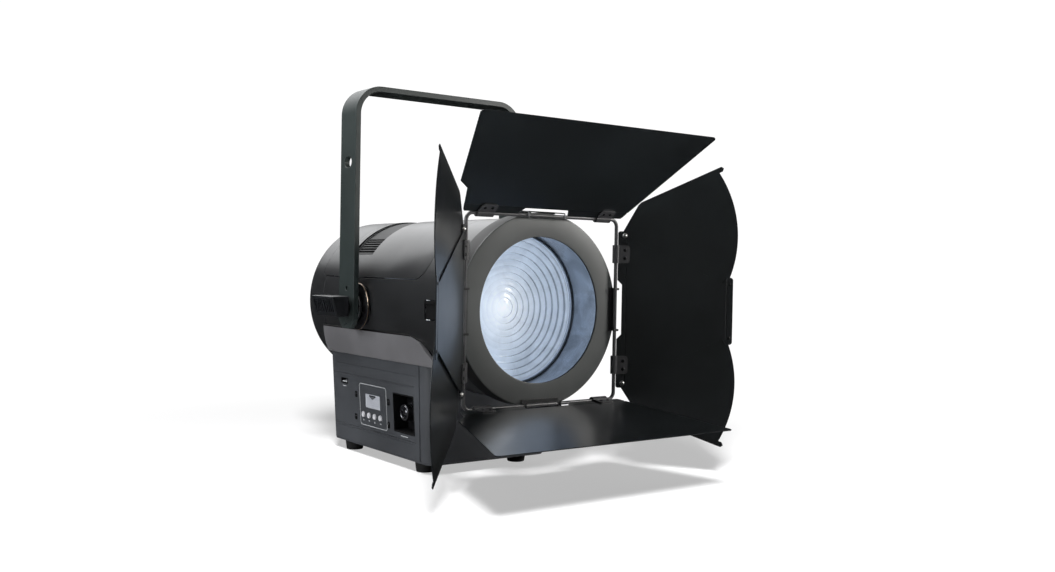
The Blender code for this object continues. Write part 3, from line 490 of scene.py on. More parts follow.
def tube(points, r, seg=16, cyclic=False):
    """Round wire along a list of points, with rings turned to follow it."""
    bm = bmesh.new()
    n = len(points)
    pts = [Vector(p) for p in points]
    rings, up = [], None
    for i, p in enumerate(pts):
        if cyclic:
            d = (pts[(i + 1) % n] - pts[i - 1]).normalized()
        else:
            d = (pts[min(i + 1, n - 1)] - pts[max(i - 1, 0)]).normalized()
        if up is None:
            up = d.orthogonal().normalized()
        up = (up - d * up.dot(d)).normalized()
        side = d.cross(up)
        rings.append([bm.verts.new(p + r * (math.cos(2 * math.pi * k / seg) * up + math.sin(2 * math.pi * k / seg) * side)) for k in range(seg)])
    last = n if cyclic else n - 1
    for i in range(last):
        a, b = rings[i], rings[(i + 1) % n]
        shift = 0
        if cyclic and i == n - 1:  # the frame may have turned on the way round
            shift = min(range(seg), key=lambda s: (a[0].co - b[s].co).length)
        for k in range(seg):
            bm.faces.new((a[k], a[(k + 1) % seg], b[(k + 1 + shift) % seg], b[(k + shift) % seg]))
    if not cyclic:
        bm.faces.new(rings[0])
        bm.faces.new(list(reversed(rings[-1])))
    return bm


def smooth_path(points, r, n=8):
    """Straight runs with round corners of radius r between them."""
    pts = [Vector(p) for p in points]
    out = [pts[0]]
    for a, b, c in zip(pts, pts[1:], pts[2:]):
        u, v = (a - b).normalized(), (c - b).normalized()
        ang = u.angle(v)
        if ang > math.pi - 1e-3:
            out.append(b)
            continue
        d = min(r / math.tan(ang / 2), (a - b).length * 0.49, (c - b).length * 0.49)
        rad = d * math.tan(ang / 2)
        mid = b + (u + v).normalized() * (rad / math.sin(ang / 2))
        s, e = b + u * d - mid, b + v * d - mid
        for i in range(n + 1):
            out.append(mid + s.slerp(e, i / n, s) * 1.0)
    out.append(pts[-1])
    return out


def cross_head(r, h, recess=0.52, seg=36):
    """Pan-head screw with a cross recess: base at z 0, head up to z h."""
    prof = [(0.0, -1.2), (r * 0.5, -1.2), (r * 0.5, 0.0), (r, 0.0), (r, h * 0.28)] + [(r * (0.94 * math.cos(math.radians(a)) + 0.06 * (1 - math.sin(math.radians(a)))), h * (0.28 + 0.72 * math.sin(math.radians(a)))) for a in (12, 28, 46, 66)] + [(0.0, h)]
    ob = raw_object("head", turned(prof, "Z", seg), place=False)
    x = bmesh.new()
    w, l = r * 0.17, r * recess
    for m in (Matrix.Identity(4), Matrix.Rotation(math.pi / 2, 4, "Z")):
        bmesh.ops.create_cube(x, size=1.0, matrix=m @ Matrix.Translation((0, 0, h)) @ Matrix.Diagonal((2 * l, w, h * 1.3, 1)))
    other = raw_object("tool", x, place=False)
    u = other.modifiers.new("r", "REMESH")
    other.modifiers.remove(u)
    m = ob.modifiers.new("b", "BOOLEAN")
    m.operation, m.solver, m.object, m.use_self = "DIFFERENCE", "EXACT", other, True
    bake(ob)
    bpy.data.objects.remove(other, do_unlink=True)
    me = ob.data
    bpy.data.objects.remove(ob, do_unlink=True)
    return me


def dome(r, h, seg=32):
    """Domed rivet head on a thin flange."""
    prof = [(0.0, -0.8), (r * 0.45, -0.8), (r * 0.45, 0.0), (r, 0.0), (r, 0.25), (r * 0.86, 0.42)] + [(r * 0.78 * math.cos(math.radians(a)), 0.42 + (h - 0.42) * math.sin(math.radians(a))) for a in (5, 20, 38, 56, 74)] + [(0.0, h)]
    ob = raw_object("rivet", turned(prof, "Z", seg), place=False)
    me = ob.data
    bpy.data.objects.remove(ob, do_unlink=True)
    return me


PAN, PAN_SMALL, RIVET, RIVET_SMALL = cross_head(3.0, 1.7), cross_head(2.3, 1.2), dome(3.7, 2.1), dome(2.2, 1.1)


def many(name, mesh, matrices, mat, body):
    """Several copies of one small part as one piece; matrices are in the optical frame, part's z outwards."""
    bm = bmesh.new()
    for m in matrices:
        me = mesh.copy()
        me.transform(m)
        bm.from_mesh(me)
        bpy.data.meshes.remove(me)
    ob = raw_object(name, bm, 30.0, recalc=False)
    return finish_piece(ob, mat, body)


def facing(point, normal, spin=0.0):
    """Matrix that puts a part at a point with its z along a normal."""
    q = Vector(normal).normalized().to_track_quat("Z", "Y")
    return Matrix.Translation(point) @ q.to_matrix().to_4x4() @ Matrix.Rotation(spin, 4, "Z")


# ================================================================ camera
YAW, PITCH, ROLL = math.radians(-36.44), math.radians(-1.112), math.radians(1.028)
EYE = Vector((-0.848, -1.39462, 0.27611))
fwd = Vector((-math.sin(YAW) * math.cos(PITCH), math.cos(YAW) * math.cos(PITCH), math.sin(PITCH)))
right = Vector((math.cos(YAW), math.sin(YAW), 0.0))
up = right.cross(fwd)
r2 = math.cos(ROLL) * right + math.sin(ROLL) * up
u2 = -math.sin(ROLL) * right + math.cos(ROLL) * up
cam = bpy.data.cameras.new("camera")
cam.lens, cam.sensor_width, cam.sensor_fit = 36.096, 36.0, "HORIZONTAL"
cam.clip_start, cam.clip_end = 0.01, 100.0
camera = bpy.data.objects.new("camera", cam)
bpy.context.scene.collection.objects.link(camera)
camera.matrix_world = Matrix.Translation(EYE) @ Matrix((r2, u2, -fwd)).transposed().to_4x4()
bpy.context.scene.camera = camera

# ================================================================ front ring
def blend_arc(cx, cy, r, a0, a1, n=5):
    return arc(cx, cy, r, a0, a1, n)


APERTURE = 97.0
ring_prof = ([(APERTURE, 2.9), (APERTURE, 0.9)] + arc(APERTURE + 0.9, 0.9, 0.9, 180, 270, 5)[1:]
             + arc(RING_R - 1.4, 1.4, 1.4, -90, 0, 6) + [(RING_R, 29.0)] + arc(RING_R - 1.0, 29.0, 1.0, 0, 90, 4)[1:]
             + [(BODY_R + 0.5, 30.0), (BODY_R + 0.5, 3.2), (APERTURE + 6, 2.9)])
ring = piece("front_ring_plate", turned(ring_prof, seg=200), [RING_FACE, RING_RIM_PAINTED_SHADE], "housing", "front_ring", smooth=40)
# faces behind the ring's front face, its rim and back, take the near-black copy: painted shade
for f in ring.data.polygons:
    if f.center.y > ORIGIN.y + 1.6 * MM:
        f.material_index = 1

# ================================================================ round shell, hood and rear
HOOD_Y0, HOOD_Y1, HOOD_Z, SEAM = 104.6, 414.0, 37.5, 400.5


def hood_outline(gap):
    """Side view of the hood's opening: rounded lower corners, grown by a gap."""
    y0, y1, z0 = HOOD_Y0 - gap, HOOD_Y1 + gap, HOOD_Z - gap
    return arc(y0 + 26 + gap, z0 + 26 + gap, 26 + gap, 180, 270, 14) + arc(y1 - 12 - gap, z0 + 12 + gap, 12 + gap, 270, 360, 8) + [(y1, 150.0), (y0, 150.0)]


shell = raw_object("round_shell", turned([
    (BODY_R, 3.6), (BODY_R, 36.0), (BODY_R - 0.7, 36.5), (BODY_R - 0.7, 38.0), (BODY_R, 38.5),
    (BODY_R, SEAM - 1.2), (BODY_R - 0.8, SEAM - 0.5), (BODY_R - 2.4, SEAM - 0.5), (BODY_R - 2.4, 3.6)], seg=192))
cut(shell, plate(hood_outline(0.7), -140, 140, "X"))
cut(shell, box(-84, 84, 128, 386, -140, -80))
pivots = turned([(0.0, -140.0), (14.2, -140.0), (14.2, 140.0), (0.0, 140.0)], "X", 64)
bmesh.ops.translate(pivots, vec=(0, TILT_Y, TILT_Z), verts=pivots.verts)
cut(shell, pivots)
# side latch pockets near the front, one each side
pocket = bmesh.new()
for s in (-1, 1):
    box(min(s * 119.6, s * 140), max(s * 119.6, s * 140), 66.0, 94.0, -16.0, 11.0, pocket)
cut(shell, pocket)
clean(shell)
edges(shell, 0.45, 2, 42)
finish_piece(shell, HOUSING, "housing", "main_shell")
for s, side in ((-1, "left"), (1, "right")):
    latch = box(min(s * 118.4, s * 121.6), max(s * 118.4, s * 121.6), 67.0, 93.0, -15.0, 10.0)
    box(min(s * 120.8, s * 123.2), max(s * 120.8, s * 123.2), 67.4, 92.6, 5.6, 9.6, latch)
    piece("side_latch_" + side, latch, DEEP, "housing", bevel=0.4)


def hood_mesh():
    """Half-cylinder skin as a grid, with the inset panel, its slots and the raised band worked into its radius."""
    fy = [HOOD_Y0 - 2.0, 112.0, 130.0, 160.0, 190.0, 220.0, 245.0, 265.0, 280.0, 281.8, 282.8, 284.4, 284.9, 310.0, 334.1, 334.6, 336.6,
          337.4, 338.0, 338.6, 345.4, 346.0, 350.0, 355.0, 357.4, 358.2, 364.0, 380.0, 398.0, 412.0, 420.0]
    corner = 17.0
    fy += [BODY_END - corner + corner * math.sin(math.radians(a)) for a in (0, 12, 24, 36, 48, 60)]
    fy = sorted(set(round(v, 3) for v in fy))
    slot_mid = [38.2 + 2.35 * i for i in range(6)]
    half = 0.62
    ft = [12.0, 16.0]
    for a in slot_mid:
        ft += [a - half - 0.14, a - half, a + half, a + half + 0.14]
    ft += [34.5, 35.4, 36.2, 52.2, 53.0, 53.8]
    a = 57.0
    while a < 90.0:
        ft.append(a)
        a += 3.0
    extra = [18 + 2.5 * i for i in range(7)]
    ft = sorted(set(round(v, 3) for v in ft + extra))
    ft = ft + [90.0] + [180.0 - v for v in reversed(ft)]

    def radius(th, y):
        t = th if th <= 90 else 180 - th
        r = BODY_R + 0.25
        if y > BODY_END - corner:
            r = BODY_R - corner + math.sqrt(max(0.0, corner ** 2 - (y - BODY_END + corner) ** 2)) + 0.25
        if y < 112:
            r -= 0.5 * ((112 - y) / 9.4) ** 2
        depth = 0.0
        if 282.7 < y < 336.7 and t > 35.0:
            depth = 1.5
            if 284.8 < y < 334.2 and any(abs(t - m) <= half + 0.01 for m in slot_mid):
                depth = 5.0
        if 338.5 <= y <= 345.5 and t > 33.0:
            depth = 3.4
        if 345.9 < y < 357.5 and t > 33.0:
            depth = -0.2
        return r - depth

    bm = bmesh.new()
    grid, grid_in = [], []
    for y in fy:
        row, row_in = [], []
        for th in ft:
            c, s = math.cos(math.radians(th)), math.sin(math.radians(th))
            r = radius(th, y)
            ri = min(r - 1.6, BODY_R - 6.8)
            row.append(bm.verts.new((-r * c, y, r * s)))
            row_in.append(bm.verts.new((-ri * c, y, ri * s)))
        grid.append(row)
        grid_in.append(row_in)
    ny, nt = len(fy), len(ft)
    for i in range(ny - 1):
        for j in range(nt - 1):
            bm.faces.new((grid[i][j], grid[i][j + 1], grid[i + 1][j + 1], grid[i + 1][j]))
            bm.faces.new((grid_in[i][j], grid_in[i + 1][j], grid_in[i + 1][j + 1], grid_in[i][j + 1]))
    for i in range(ny - 1):
        for j in (0, nt - 1):
            bm.faces.new((grid[i][j], grid[i + 1][j], grid_in[i + 1][j], grid_in[i][j]))
    for j in range(nt - 1):
        for i in (0, ny - 1):
            bm.faces.new((grid[i][j], grid_in[i][j], grid_in[i][j + 1], grid[i][j + 1]))
    return bm


hood = raw_object("top_hood", hood_mesh(), 28.0)
cut(hood, plate(hood_outline(-0.4), -140, 140, "X"), "INTERSECT")
hood.data.shade_smooth()
hood.data.set_sharp_from_angle(angle=math.radians(26))
finish_piece(hood, [HOUSING, HOOD_DARK], "housing", "top_cover")
for f in hood.data.polygons:
    c = (f.center - ORIGIN) / MM
    r = math.hypot(c.x, c.z)
    if 282.0 < c.y < 346.2 and r < BODY_R - 0.9 and c.z > 60:
        f.material_index = 1

corner = 17.0
bend = range(0, 91, 9)
rear = raw_object("rear_cap", turned(
    [(BODY_R - 0.8, SEAM + 0.2), (BODY_R, SEAM + 0.9)]
    + [(BODY_R - corner + corner * math.cos(math.radians(a)), BODY_END - corner + corner * math.sin(math.radians(a))) for a in bend]
    + [(92.0, BODY_END), (91.0, BODY_END - 1.2), (89.0, BODY_END - 1.2), (88.0, BODY_END), (0.0, BODY_END), (0.0, BODY_END - 2.5)]
    + [(BODY_R - corner + (corner - 2.5) * math.cos(math.radians(a)), BODY_END - corner + (corner - 2.5) * math.sin(math.radians(a))) for a in reversed(bend)]
    + [(BODY_R - 2.5, SEAM + 0.2)], seg=192))
cut(rear, plate(hood_outline(0.7), -140, 140, "X"))
grille = bmesh.new()
for i in range(-4, 5):
    z = i * 14.0
    half = math.sqrt(70.0 ** 2 - z * z) - 3.0
    add(grille, plate(rounded(-half, half, z - 3.0, z + 3.0, 2.98, 6), BODY_END - 12, BODY_END + 12, "Y"))
cut(rear, grille)
clean(rear)
edges(rear, 0.35, 2, 42)
finish_piece(rear, HOUSING, "housing", "rear_cover")
many("rear_screws", PAN, [facing((104 * math.cos(a), BODY_END - 1.2, 104 * math.sin(a)), (0, 1, 0), a) for a in [math.radians(d) for d in (215, 270, 325, 180, 0)]], BLACK_OXIDE, "housing")

# ================================================================ lens and its tube
TUBE_R, LENS_R, LENS_Y0, LENS_Y1 = 105.0, 104.6, 65.9, 74.0
tube_prof = [(TUBE_R, 3.4), (TUBE_R + 1.8, 3.4), (TUBE_R + 1.8, 82.0), (120.4, 82.0), (120.4, 86.0), (98.6, 86.0), (98.6, 74.6), (TUBE_R, 74.6)]
piece("lens_barrel", turned(tube_prof, seg=200), TUBE, "housing", "lens_tube", smooth=40)


def dish(r):
    """The stepped face lies on a shallow bowl, deepest in the middle."""
    return 17.4 * max(0.0, 1.0 - (r / 98.0) ** 2)


def lens_profile():
    pts = [(0.0, LENS_Y0 + 0.5)]
    for k in range(1, 7):
        r = 13.2 * k / 6
        pts.append((r, LENS_Y0 + 0.5 + 1.6 * (r / 13.2) ** 2))
    pitch, r0 = 9.02, 13.2
    for i in range(10):
        a, b = r0 + i * pitch, r0 + (i + 1) * pitch
        drop = 2.3 + 0.2 * i
        top = LENS_Y0 + 0.2
        pts.append((a + 0.35, top + 0.25))
        pts.append((a + 0.8, top))
        for k in range(1, 6):
            s = k / 5
            pts.append((a + 0.8 + (pitch - 0.8) * s, top + drop * (0.35 * s + 0.65 * s * s)))
    pts = [(r, y + dish(r)) for r, y in pts]
    back = [(LENS_R * k / 12, LENS_Y1 + dish(LENS_R * k / 12)) for k in range(12, -1, -1)]
    return pts + [(LENS_R, LENS_Y0 + 3.6)] + back


piece("stepped_lens", turned(lens_profile(), seg=160), LENS, "housing", "fresnel_lens", smooth=34)
# thin retaining ring in front of the lens edge
piece("lens_retainer", turned([(102.4, 62.6), (104.7, 62.2), (104.9, 62.8), (104.9, 65.4), (102.0, 65.4), (102.0, 63.2)], seg=160), RETAINER, "housing", smooth=40)

# ================================================================ base
def base_seams(ob):
    """Fine pressed seams on both sides."""
    bm = bmesh.new()
    for s in (-1, 1):
        def sx(z):
            return 100.0 + (z + 217.0) * 9.0 / 137.0
        for z, y0, y1 in ((-96.0, 136, 381), (-192.6, 150, 397)):
            m = Matrix.Translation((s * (sx(z) + 0.25), (y0 + y1) / 2, z)) @ Matrix.Diagonal((1.6, y1 - y0, 0.9, 1))
            bmesh.ops.create_cube(bm, size=1.0, matrix=m)
    for m_ in bm.verts:
        pass
    bm.transform(Matrix.Translation(ORIGIN) @ Matrix.Scale(MM, 4))
    me = bpy.data.meshes.new("tool")
    bmesh.ops.recalc_face_normals(bm, faces=bm.faces)
    bm.to_mesh(me)
    bm.free()
    other = bpy.data.objects.new("tool", me)
    bpy.context.scene.collection.objects.link(other)
    b = ob.modifiers.new("b", "BOOLEAN")
    b.operation, b.solver, b.object = "DIFFERENCE", "EXACT", other
    bake(ob)
    bpy.data.objects.remove(other, do_unlink=True)


from_node("base_box", "base_housing", BASE, "housing", 0.7, 3, 40, base_seams)
from_node("base_plate", "base_floor_plate", BASE, "housing", 0.4)
for side in ("left", "right"):
    from_node("skirt_" + side, "side_skirt_" + side, SKIRT_PAINTED_LIGHT, "housing", 1.3, 3, 12)
for s, side in ((-1, "left"), (1, "right")):
    # a near-black strip hugs the shell along each skirt's upper edge: painted shadow of the seam between skirt and
    # shell
    line_ = [(408.5, -40.0), (300.0, -40.0), (200.0, -40.0), (146.0, -39.6), (128.0, -43.0), (113.0, -47.4), (103.0, -55.0), (92.5, -63.0), (82.0, -70.4), (73.5, -76.4)]
    seam_shadow_strip = tube([(s * math.sqrt((BODY_R + 0.2) ** 2 - z * z), y, z) for y, z in line_], 1.7, 12)
    piece("skirt_seam_shadow_strip_" + side, seam_shadow_strip, DEEP, "housing", smooth=60)
for name in ("foot_front_left", "foot_front_right", "foot_rear_left", "foot_rear_right"):
    lo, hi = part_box(name)
    c = (lo + hi) / 2
    cx, cy = (c.x - ORIGIN.x) / MM, (c.y - ORIGIN.y) / MM
    z0, z1 = (lo.z - ORIGIN.z) / MM, (hi.z - ORIGIN.z) / MM
    rb = (hi.x - lo.x) / 2 / MM
    body_r = rb - 3.0
    prof = ([(0.0, z0 + 2.2), (4.0, z0 + 2.2), (4.6, z0 + 0.2), (5.2, z0)] + arc(body_r - 3.6, z0 + 1.6, 1.6, -90, 0, 5)
            + [(body_r - 0.2, z0 + 14.6), (body_r, z0 + 15.2), (body_r, z1 - 2.6), (rb, z1 - 2.6), (rb, z1), (0.0, z1)])
    bm = turned(prof, "Z", 64)
    bmesh.ops.translate(bm, vec=(cx, cy, 0), verts=bm.verts)
    piece(name.replace("foot", "rubber_foot"), bm, RUBBER, "housing", name, smooth=35)

# ================================================================ control panel
PZ0, PZ1 = -190.0, -111.0
TILT = math.atan2(9.0, 137.0)
PMID = (PZ0 + PZ1) / 2
PX = 100.0 + (PMID + 217.0) * 9.0 / 137.0
PANEL = Matrix.Translation((-PX, 0, PMID)) @ Matrix.Rotation(-TILT, 4, "Y") @ Matrix.Diagonal((-1, 1, 1, 1)) @ Matrix.Translation((0, 0, -PMID))


def on_panel(bm):
    """Places an outward-x drawing on the sloping left side."""
    out = bmesh.new()
    return add(out, bm, PANEL)


def ring_of(outer, inner, a0, a1):
    """Flat band between two outlines with the same number of points, along x."""
    bm = bmesh.new()
    q = [[bm.verts.new((a, p[0], p[1])) for p in o] for o in (outer, inner) for a in (a0, a1)]
    n = len(outer)
    o0, o1, i0, i1 = q
    for k in range(n):
        j = (k + 1) % n
        bm.faces.new((o0[k], o0[j], o1[j], o1[k]))
        bm.faces.new((i0[k], i1[k], i1[j], i0[j]))
        bm.faces.new((o1[k], o1[j], i1[j], i1[k]))
        bm.faces.new((o0[k], i0[k], i0[j], o0[j]))
    return bm


BY, BZ, BR = (246.8, 264.2, 281.6, 299.0), -168.0, 4.2
WIN = (245.5, 291.0, -157.0, -135.5)
REC = (148.5, 207.0, -181.0, -125.0)
USB = (347.0, 368.5, -127.5, -118.5)
SCREWS = ((320.0, -140.0), (323.5, -174.5), (220.5, -141.0), (222.5, -174.5))


def panel_cuts(ob):
    bm = bmesh.new()
    box(-1.0, 3.0, 226.0, 309.5, -184.5, -121.0, bm)  # shallow printed field
    bm2 = on_panel(bm)
    return bm2


panel = raw_object("side_panel", on_panel(plate(rounded(146.4, 393.6, PZ0 + 0.4, PZ1 - 0.4, 1.2, 5), -2.6, -0.1, "X")))
holes = plate(rounded(*REC, 1.5, 5), -10, 10, "X")
add(holes, plate(rounded(WIN[0] - 0.3, WIN[1] + 0.3, WIN[2] - 0.3, WIN[3] + 0.3, 1.0, 4), -10, 10, "X"))
add(holes, plate(rounded(*USB, 1.0, 4), -10, 10, "X"))
for y in BY:
    h = turned([(0.0, -10.0), (BR + 0.45, -10.0), (BR + 0.45, 10.0), (0.0, 10.0)], "X", 32)
    bmesh.ops.translate(h, vec=(0, y, BZ), verts=h.verts)
    add(holes, h)
cut(panel, on_panel(holes))
# the panel's upper seam steps up towards the back
seam = box(-0.7, 1.0, 150.0, 338.0, -113.6, -112.9)
cut(panel, on_panel(seam))
clean(panel)
edges(panel, 0.3, 2, 42)
finish_piece(panel, BASE, "housing", "control_panel")

line = ring_of(rounded(226.4, 309.2, -184.2, -121.4, 5.0, 8), rounded(227.4, 308.2, -183.2, -122.4, 4.0, 8), -0.14, 0.04)
piece("panel_outline", on_panel(line), PRINT, "housing", smooth=30)
bezel = ring_of(rounded(WIN[0] - 2.4, WIN[1] + 2.4, WIN[2] - 2.2, WIN[3] + 2.2, 2.2, 6), rounded(WIN[0] + 0.4, WIN[1] - 0.4, WIN[2] + 0.4, WIN[3] - 0.4, 1.0, 6), -0.3, 0.28)
piece("display_bezel", on_panel(bezel), BASE, "housing", bevel=0.15)
win = plate(rounded(WIN[0] + 0.5, WIN[1] - 0.5, WIN[2] + 0.5, WIN[3] - 0.5, 0.9, 5), -3.0, 0.05, "X")
piece("display_glass", on_panel(win), SCREEN, "housing", "display_window", bevel=0.2)
marks = bmesh.new()
for y0, y1, z0, z1 in ((259.0, 279.0, -139.4, -137.2), (262.0, 276.0, -141.0, -139.8), (265.5, 272.5, -142.6, -141.4)):
    box(0.04, 0.12, y0, y1, z0, z1, marks)
piece("display_marks", on_panel(marks), DEEP, "housing", smooth=30)
# small generic button symbols: bar, up, down, dot
glyphs = box(0.0 - 0.12, 0.03, BY[0] - 2.2, BY[0] + 2.2, -177.2, -175.8)
add(glyphs, plate([(BY[1] - 2.2, -177.6), (BY[1] + 2.2, -177.6), (BY[1], -175.2)], -0.12, 0.03, "X"))
add(glyphs, plate([(BY[2] - 2.2, -175.4), (BY[2] + 2.2, -175.4), (BY[2], -177.8)], -0.12, 0.03, "X"))
add(glyphs, plate(arc(BY[3], -176.5, 1.3, 0, 345, 23), -0.12, 0.03, "X"))
add(glyphs, plate(rounded(168.0, 188.0, -185.6, -184.4, 0.5, 3), -0.12, 0.03, "X"))
add(glyphs, plate(rounded(352.0, 363.5, -131.4, -130.4, 0.4, 3), -0.12, 0.03, "X"))
piece("panel_symbols", on_panel(glyphs), PRINT, "housing", smooth=30)
pads = bmesh.new()
for y, z in SCREWS:
    add(pads, plate(rounded(y - 3.6, y + 3.6, z - 4.6, z + 4.6, 1.2, 5), -0.12, 0.25, "X"))
piece("panel_screw_pads", on_panel(pads), DEEP, "housing", smooth=30)
many("panel_screws", PAN_SMALL, [PANEL @ facing((0.1, y, z), (1, 0, 0), 0.4 * i) for i, (y, z) in enumerate(SCREWS)], BLACK_OXIDE, "housing")

for i, y in enumerate(BY):
    name = ("mode", "up", "down", "enter")[i]
    prof = [(0.0, 1.25)] + [(BR * 0.72 * k / 3, 1.25 + 0.12 * (k / 3) ** 2) for k in (1, 2, 3)] + arc(1.2, BR - 0.9, 0.5, 0, 90, 4)[:0] + [(BR - 0.7, 1.6), (BR - 0.2, 1.3), (BR, 0.7), (BR, -4.0), (BR + 1.2, -4.0), (BR + 1.2, -5.2), (0.0, -5.2)]
    bm = turned(prof, "X", 48)
    bmesh.ops.translate(bm, vec=(0, y, BZ), verts=bm.verts)
    piece("key_" + name, on_panel(bm), BUTTON, "button_" + name, "button_" + name, smooth=32)

# service port: a metal shell with a tongue, in a pocket
port = ring_of(rounded(USB[0] + 0.5, USB[1] - 0.5, USB[2] + 0.5, USB[3] - 0.5, 0.8, 4), rounded(USB[0] + 1.1, USB[1] - 1.1, USB[2] + 1.1, USB[3] - 1.1, 0.5, 4), -9.0, 0.1)
piece("service_port_shell", on_panel(port), DEEP, "housing", smooth=30)
tongue = box(-9.0, -0.8, USB[0] + 3.4, USB[1] - 3.4, USB[2] + 2.4, USB[2] + 4.2)
box(-10.0, -8.6, USB[0] + 1.0, USB[1] - 1.0, USB[2] + 1.0, USB[3] - 1.0, tongue)
piece("service_port_tongue", on_panel(tongue), PRINT, "housing", bevel=0.15)

# connector recess with a round power inlet
lip = rounded(REC[0] + 0.1, REC[1] - 0.1, REC[2] + 0.1, REC[3] - 0.1, 1.8, 6)
inn = rounded(REC[0] + 2.0, REC[1] - 2.0, REC[2] + 2.0, REC[3] - 2.0, 1.2, 6)
well = bmesh.new()
levels = [(lip, -23.8), (lip, -0.2), (lip, 0.1), (rounded(REC[0] + 0.6, REC[1] - 0.6, REC[2] + 0.6, REC[3] - 0.6, 1.6, 6), 0.35),
          (rounded(REC[0] + 1.7, REC[1] - 1.7, REC[2] + 1.7, REC[3] - 1.7, 1.3, 6), 0.35), (inn, 0.0), (inn, -21.8)]
rows = [[well.verts.new((x, p[0], p[1])) for p in o] for o, x in levels]
n = len(lip)
for a, b in zip(rows, rows[1:]):
    for k in range(n):
        j = (k + 1) % n
        well.faces.new((a[k], a[j], b[j], b[k]))
well.faces.new(rows[0])
well.faces.new(rows[-1])
piece("connector_well", on_panel(well), DEEP, "housing", "connector_recess", smooth=32)
cy, cz = 186.0, -153.0
prof = [(0.0, -21.6), (13.8, -21.6), (14.0, -21.2), (14.0, -17.9), (13.4, -17.4), (11.7, -17.4), (11.5, -17.0), (11.5, -5.6), (11.0, -5.0), (9.6, -5.0), (9.2, -5.4), (9.2, -15.0), (4.2, -15.0), (4.0, -7.4), (3.5, -7.0), (0.0, -7.0)]
inlet = turned(prof, "X", 72)
bmesh.ops.translate(inlet, vec=(0, cy, cz), verts=inlet.verts)
piece("inlet_shell", on_panel(inlet), CHROME, "housing", "power_inlet", smooth=32)
pins = bmesh.new()
for a in (90, 210, 330):
    q = turned([(0.0, -15.0), (0.9, -15.0), (0.9, -8.4), (0.5, -7.9), (0.0, -7.9)], "X", 20)
    bmesh.ops.translate(q, vec=(0, cy + 6.6 * math.cos(math.radians(a)), cz + 6.6 * math.sin(math.radians(a))), verts=q.verts)
    add(pins, q)
piece("inlet_contacts", on_panel(pins), ZINC, "housing", smooth=32)

# ================================================================ tilt pivots and yoke
for side, s in (("left", -1), ("right", 1)):
    prof = ([(0.0, 118.0), (13.4, 118.0), (13.4, 124.5), (33.4, 124.5)] + arc(33.4 - 0.8 + 0.6, 125.3, 0.8, -60, 0, 3) + [(34.0, 127.2)] + arc(33.0, 128.0, 1.0, 0, 90, 5)
            + [(16.2, 129.0), (16.0, 129.4), (16.0, 131.6), (22.7, 132.0)] + arc(22.7, 132.8, 0.8, -90, 0, 4) + [(23.5, 136.6)] + arc(22.7, 136.6, 0.8, 0, 90, 4)
            + [(8.6, 137.4), (4.5, 137.4), (4.5, 157.6), (4.1, 158.0), (0.0, 158.0)])
    bm = turned([(r, s * a) for r, a in prof], "X", 96)
    bmesh.ops.translate(bm, vec=(0, TILT_Y, TILT_Z), verts=bm.verts)
    piece("pivot_discs_" + side, bm, FRAME_M, "housing", "tilt_boss_" + side, smooth=34)
    # thin bronze friction washer round the larger disc, bright edge round the smaller
    w = turned([(33.7, s * 128.5), (34.2, s * 128.2), (34.35, s * 127.6), (34.35, s * 127.0), (34.05, s * 126.6), (34.05, s * 128.0)], "X", 96)
    bmesh.ops.translate(w, vec=(0, TILT_Y, TILT_Z), verts=w.verts)
    piece("friction_washer_" + side, w, COPPER, "housing", smooth=34)
    w = turned([(22.9, s * 137.1), (23.8, s * 136.5), (23.9, s * 135.4), (23.6, s * 135.2), (23.55, s * 136.4), (22.9, s * 136.9)], "X", 96)
    bmesh.ops.translate(w, vec=(0, TILT_Y, TILT_Z), verts=w.verts)
    piece("washer_edge_" + side, w, ZINC, "housing", smooth=34)

YX, YT, YW, YTOP, YB, YLOW = 146.1, 8.2, 47.0, 315.7, 42.0, -37.0
n = 28
outer = [(-YX, YLOW)] + arc(-YX + YB, YTOP - YB, YB, 180, 90, n) + arc(YX - YB, YTOP - YB, YB, 90, 0, n) + [(YX, YLOW)]
inner = [(YX - YT, YLOW)] + arc(YX - YB, YTOP - YB, YB - YT, 0, 90, n) + arc(-YX + YB, YTOP - YB, YB - YT, 90, 180, n) + [(-YX + YT, YLOW)]
yoke = raw_object("hanging_yoke", plate(outer + inner, TILT_Y - YW / 2, TILT_Y + YW / 2, "Y"))
w = YW / 2
leg = [(-w - 9, YLOW - 5), (-w + 12, YLOW - 5), (-w + 12, YLOW), (-w, YLOW + 13), (-w - 9, YLOW + 13)]
corner_cut = plate([(a + TILT_Y, b) for a, b in leg], -160, 160, "X")
add(corner_cut, plate([(-a + TILT_Y, b) for a, b in leg], -160, 160, "X"))
cut(yoke, corner_cut)
drill = bmesh.new()


def drill_x(r, z, x0=-170, x1=170, seg=48):
    h = turned([(0.0, x0), (r, x0), (r, x1), (0.0, x1)], "X", seg)
    bmesh.ops.translate(h, vec=(0, TILT_Y, z), verts=h.verts)
    add(drill, h)


drill_x(5.4, TILT_Z)
slot_hole = plate(arc(TILT_Y + 2.6, 204.5, 7.8, -90, 90, 18) + arc(TILT_Y - 2.6, 204.5, 7.8, 90, 270, 18), -170, 170, "X")
add(drill, slot_hole)
drill_x(3.0, 21.6, seg=32)
drill_x(1.6, -30.5, seg=24)
for x in (-66.0, 0.0, 66.0):
    h = turned([(0.0, YTOP - 30), (6.5, YTOP - 30), (6.5, YTOP + 20), (0.0, YTOP + 20)], "Z", 48)
    bmesh.ops.translate(h, vec=(x, TILT_Y, 0), verts=h.verts)
    add(drill, h)
cut(yoke, drill)
clean(yoke)
edges(yoke, 0.9, 3, 40, 32)
finish_piece(yoke, YOKE, "yoke", "yoke")

